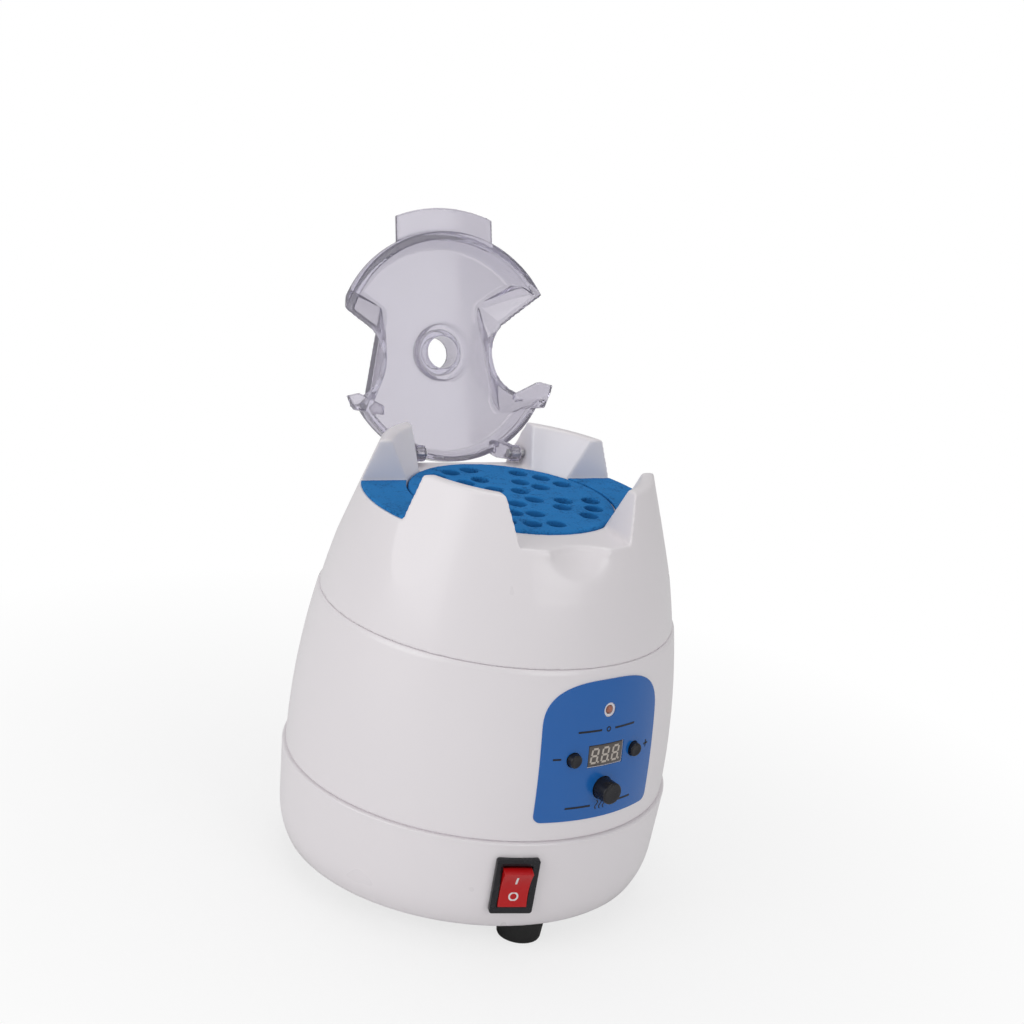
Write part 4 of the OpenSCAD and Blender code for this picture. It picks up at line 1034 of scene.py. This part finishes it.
round_button("minus_cap", "minus_button", -STEP_X, BUTTON_Z, 2.4, 1.9)
round_button("plus_cap", "plus_button", STEP_X, BUTTON_Z, 2.4, 1.9)
round_button("heating_cap", "heating_button", 0, HEAT_Z, 3.9, 5.6)

# %% [markdown]
# ## The power switch and the inlet
# The switch is a snap-in part: a black frame and a red rocker with a white bar and a white ring
# for on and off. Both are boxes with rounded edges, so a bevel on the merged copy is enough.

# %% Switch
switch_frame = softened("switch_body", "switch_frame", 0.3)
hand_over(switch_frame, "housing", black_gloss, ["switch_body"])
rocker = softened("switch_rocker", "rocker", 0.35, 25)
hand_over(rocker, "switch_rocker", red_plastic, ["switch_rocker"])

PIVOT = BEZEL_BACK + 0.4
ROCKER_HALF = 7.2 - 0.15    # half the height of the rocker's hollow face
ROCKER_OUT = 1.9            # how far the face's middle stands out from the pivot
ROCKER_HOLLOW = 1.5         # how much further its ends stand out
ROCKER_TILT = math.radians(9)


def on_rocker(t):
    """A frame on the rocker's hollow face; t runs from -1 at the bottom to 1 at the top."""
    out = ROCKER_OUT + ROCKER_HOLLOW * t * t
    up = t * ROCKER_HALF
    slope = math.atan(2 * ROCKER_HOLLOW * t / ROCKER_HALF)
    tilt = Matrix.Rotation(ROCKER_TILT, 4, "X")
    slant = Matrix.Rotation(slope, 4, "X")
    return switch_seat @ shift(0, -PIVOT, 0) @ tilt @ shift(0, -out, up) @ slant


on_mark = block("on_mark", (0.7, 0.2, 3.4))
printed(settle(on_mark, on_rocker(0.5)), white_print, "switch_rocker")
off_mark = turned("off_mark", [(1.15, -0.15), (1.75, -0.15), (1.75, 0.08), (1.15, 0.08)], 48)
printed(settle(off_mark, on_rocker(-0.48) @ OUTWARDS), white_print, "switch_rocker")

# %% Inlet
inlet = softened("power_inlet", "inlet", 0.35)
hand_over(inlet, "housing", black_matte, ["power_inlet"])

# %% [markdown]
# ## Everything else
# The inner parts keep their CAD shapes. Each gets the finish of what it is made of.

# %% Finishes of the other CAD pieces
kept_finishes = {
    "foot_screws": steel, "plate_screws": steel, "fan_screws": steel, "board_screws": steel,
    "inlet_screws": steel, "power_board_screws": steel, "hinge_pins": steel,
    "temperature_probe": steel, "fan_frame": black_matte, "fan_impeller": black_matte,
    "push_switches": black_matte, "controller_chip": black_matte, "display_module": black_matte,
    "power_capacitor": black_matte, "thermal_cutoff": black_matte, "fan_motor": winding_brown,
    "air_duct": aluminium, "heater_core": aluminium, "diffuser_plate": aluminium,
    "heater_bracket": mica, "heater_terminals": brass, "switch_terminals": brass,
    "inlet_pins": brass, "control_board": board_green, "power_board": board_green,
    "power_relay": relay_blue, "terminal_block": terminal_green,
}
for node_name, material in kept_finishes.items():
    node = nodes[node_name]
    node.data.materials.clear()
    node.data.materials.append(material)
shown = sorted(n for n, o in nodes.items() if not o.hide_render)
print("CAD pieces shown:", len(shown), "without a finish:", sorted(set(shown) - set(kept_finishes)))

# %% [markdown]
# ## Studio
# A pale floor, a white world that the camera sees as plain white, and three large soft lamps.

# %% Floor
WHITE_NEAR = 0.72       # how white the floor looks beside the device
WHITE_FROM = 0.08       # distances from the middle, in metres
WHITE_AT = 0.3


def seen_directly(tree):
    """1 for rays from the camera, also through clear plastic, and 0 for light on its way."""
    path = tree.nodes.new("ShaderNodeLightPath")
    seen = tree.nodes.new("ShaderNodeMath")
    seen.operation = "MAXIMUM"
    tree.links.new(path.outputs["Is Camera Ray"], seen.inputs[0])
    tree.links.new(path.outputs["Is Transmission Ray"], seen.inputs[1])
    return seen.outputs["Value"]


bpy.ops.mesh.primitive_plane_add(size=8, location=(0, 0, FLOOR_Z * MM))
floor = bpy.context.object
floor.name = "floor"
floor_material = bpy.data.materials.new("pale_floor")
floor_material.use_nodes = True
floor_tree = floor_material.node_tree
floor_shader = floor_tree.nodes["Principled BSDF"]
floor_shader.inputs["Base Color"].default_value = (0.85, 0.85, 0.85, 1)
floor_shader.inputs["Roughness"].default_value = 0.7
floor_white = floor_tree.nodes.new("ShaderNodeEmission")
floor_place = floor_tree.nodes.new("ShaderNodeTexCoord")
floor_far = floor_tree.nodes.new("ShaderNodeVectorMath")
floor_far.operation = "LENGTH"
floor_fade = floor_tree.nodes.new("ShaderNodeMapRange")
floor_fade.inputs["From Min"].default_value = WHITE_FROM
floor_fade.inputs["From Max"].default_value = WHITE_AT
floor_fade.inputs["To Min"].default_value = WHITE_NEAR
floor_fade.inputs["To Max"].default_value = 1.0
floor_part = floor_tree.nodes.new("ShaderNodeMath")
floor_part.operation = "MULTIPLY"
floor_mix = floor_tree.nodes.new("ShaderNodeMixShader")
floor_link = floor_tree.links.new
floor_link(floor_place.outputs["Object"], floor_far.inputs[0])
floor_link(floor_far.outputs["Value"], floor_fade.inputs["Value"])
floor_link(seen_directly(floor_tree), floor_part.inputs[0])
floor_link(floor_fade.outputs["Result"], floor_part.inputs[1])
floor_link(floor_part.outputs["Value"], floor_mix.inputs["Fac"])
floor_link(floor_shader.outputs["BSDF"], floor_mix.inputs[1])
floor_link(floor_white.outputs["Emission"], floor_mix.inputs[2])
floor_link(floor_mix.outputs["Shader"], floor_tree.nodes["Material Output"].inputs["Surface"])
floor.data.materials.append(floor_material)

# %% [markdown]
# The world lights the device softly from all sides, and is plain white where it is looked at. The
# large lamps on the left, in front and above make the soft bright fields on the rounded walls.

# %% World and lamps
SKY_STRENGTH = 0.44
AIM = Vector((0, 0, 0.09))      # the device's middle

world = bpy.data.worlds.new("studio")
scene.world = world
world.use_nodes = True
world_tree = world.node_tree
sky = world_tree.nodes["Background"]
sky.inputs["Color"].default_value = (1, 1, 1, 1)
sky.inputs["Strength"].default_value = SKY_STRENGTH
plain_white = world_tree.nodes.new("ShaderNodeBackground")
plain_white.inputs["Color"].default_value = (1, 1, 1, 1)
plain_white.inputs["Strength"].default_value = 1
choose = world_tree.nodes.new("ShaderNodeMixShader")
world_tree.links.new(seen_directly(world_tree), choose.inputs["Fac"])
world_tree.links.new(sky.outputs["Background"], choose.inputs[1])
world_tree.links.new(plain_white.outputs["Background"], choose.inputs[2])
world_tree.links.new(choose.outputs["Shader"], world_tree.nodes["World Output"].inputs["Surface"])


def soft_lamp(name, place, size, watts):
    """A square area lamp that points at the device's middle."""
    data = bpy.data.lights.new(name, "AREA")
    data.shape = "SQUARE"
    data.size = size
    data.energy = watts
    lamp_object = bpy.data.objects.new(name, data)
    lamp_object.location = place
    aim = AIM - Vector(place)
    lamp_object.rotation_euler = aim.to_track_quat("-Z", "Y").to_euler()
    scene.collection.objects.link(lamp_object)


soft_lamp("left_lamp", (-1.5, -0.2, 0.7), 1.2, 9.2)
soft_lamp("front_lamp", (0.35, -1.5, 0.8), 0.9, 5.0)
soft_lamp("top_lamp", (0.1, 0.3, 1.6), 1.0, 5.0)

# %% [markdown]
# The view transform stays Standard, so that a colour renders as it is written.

# %% Close
scene.view_settings.view_transform = "Standard"
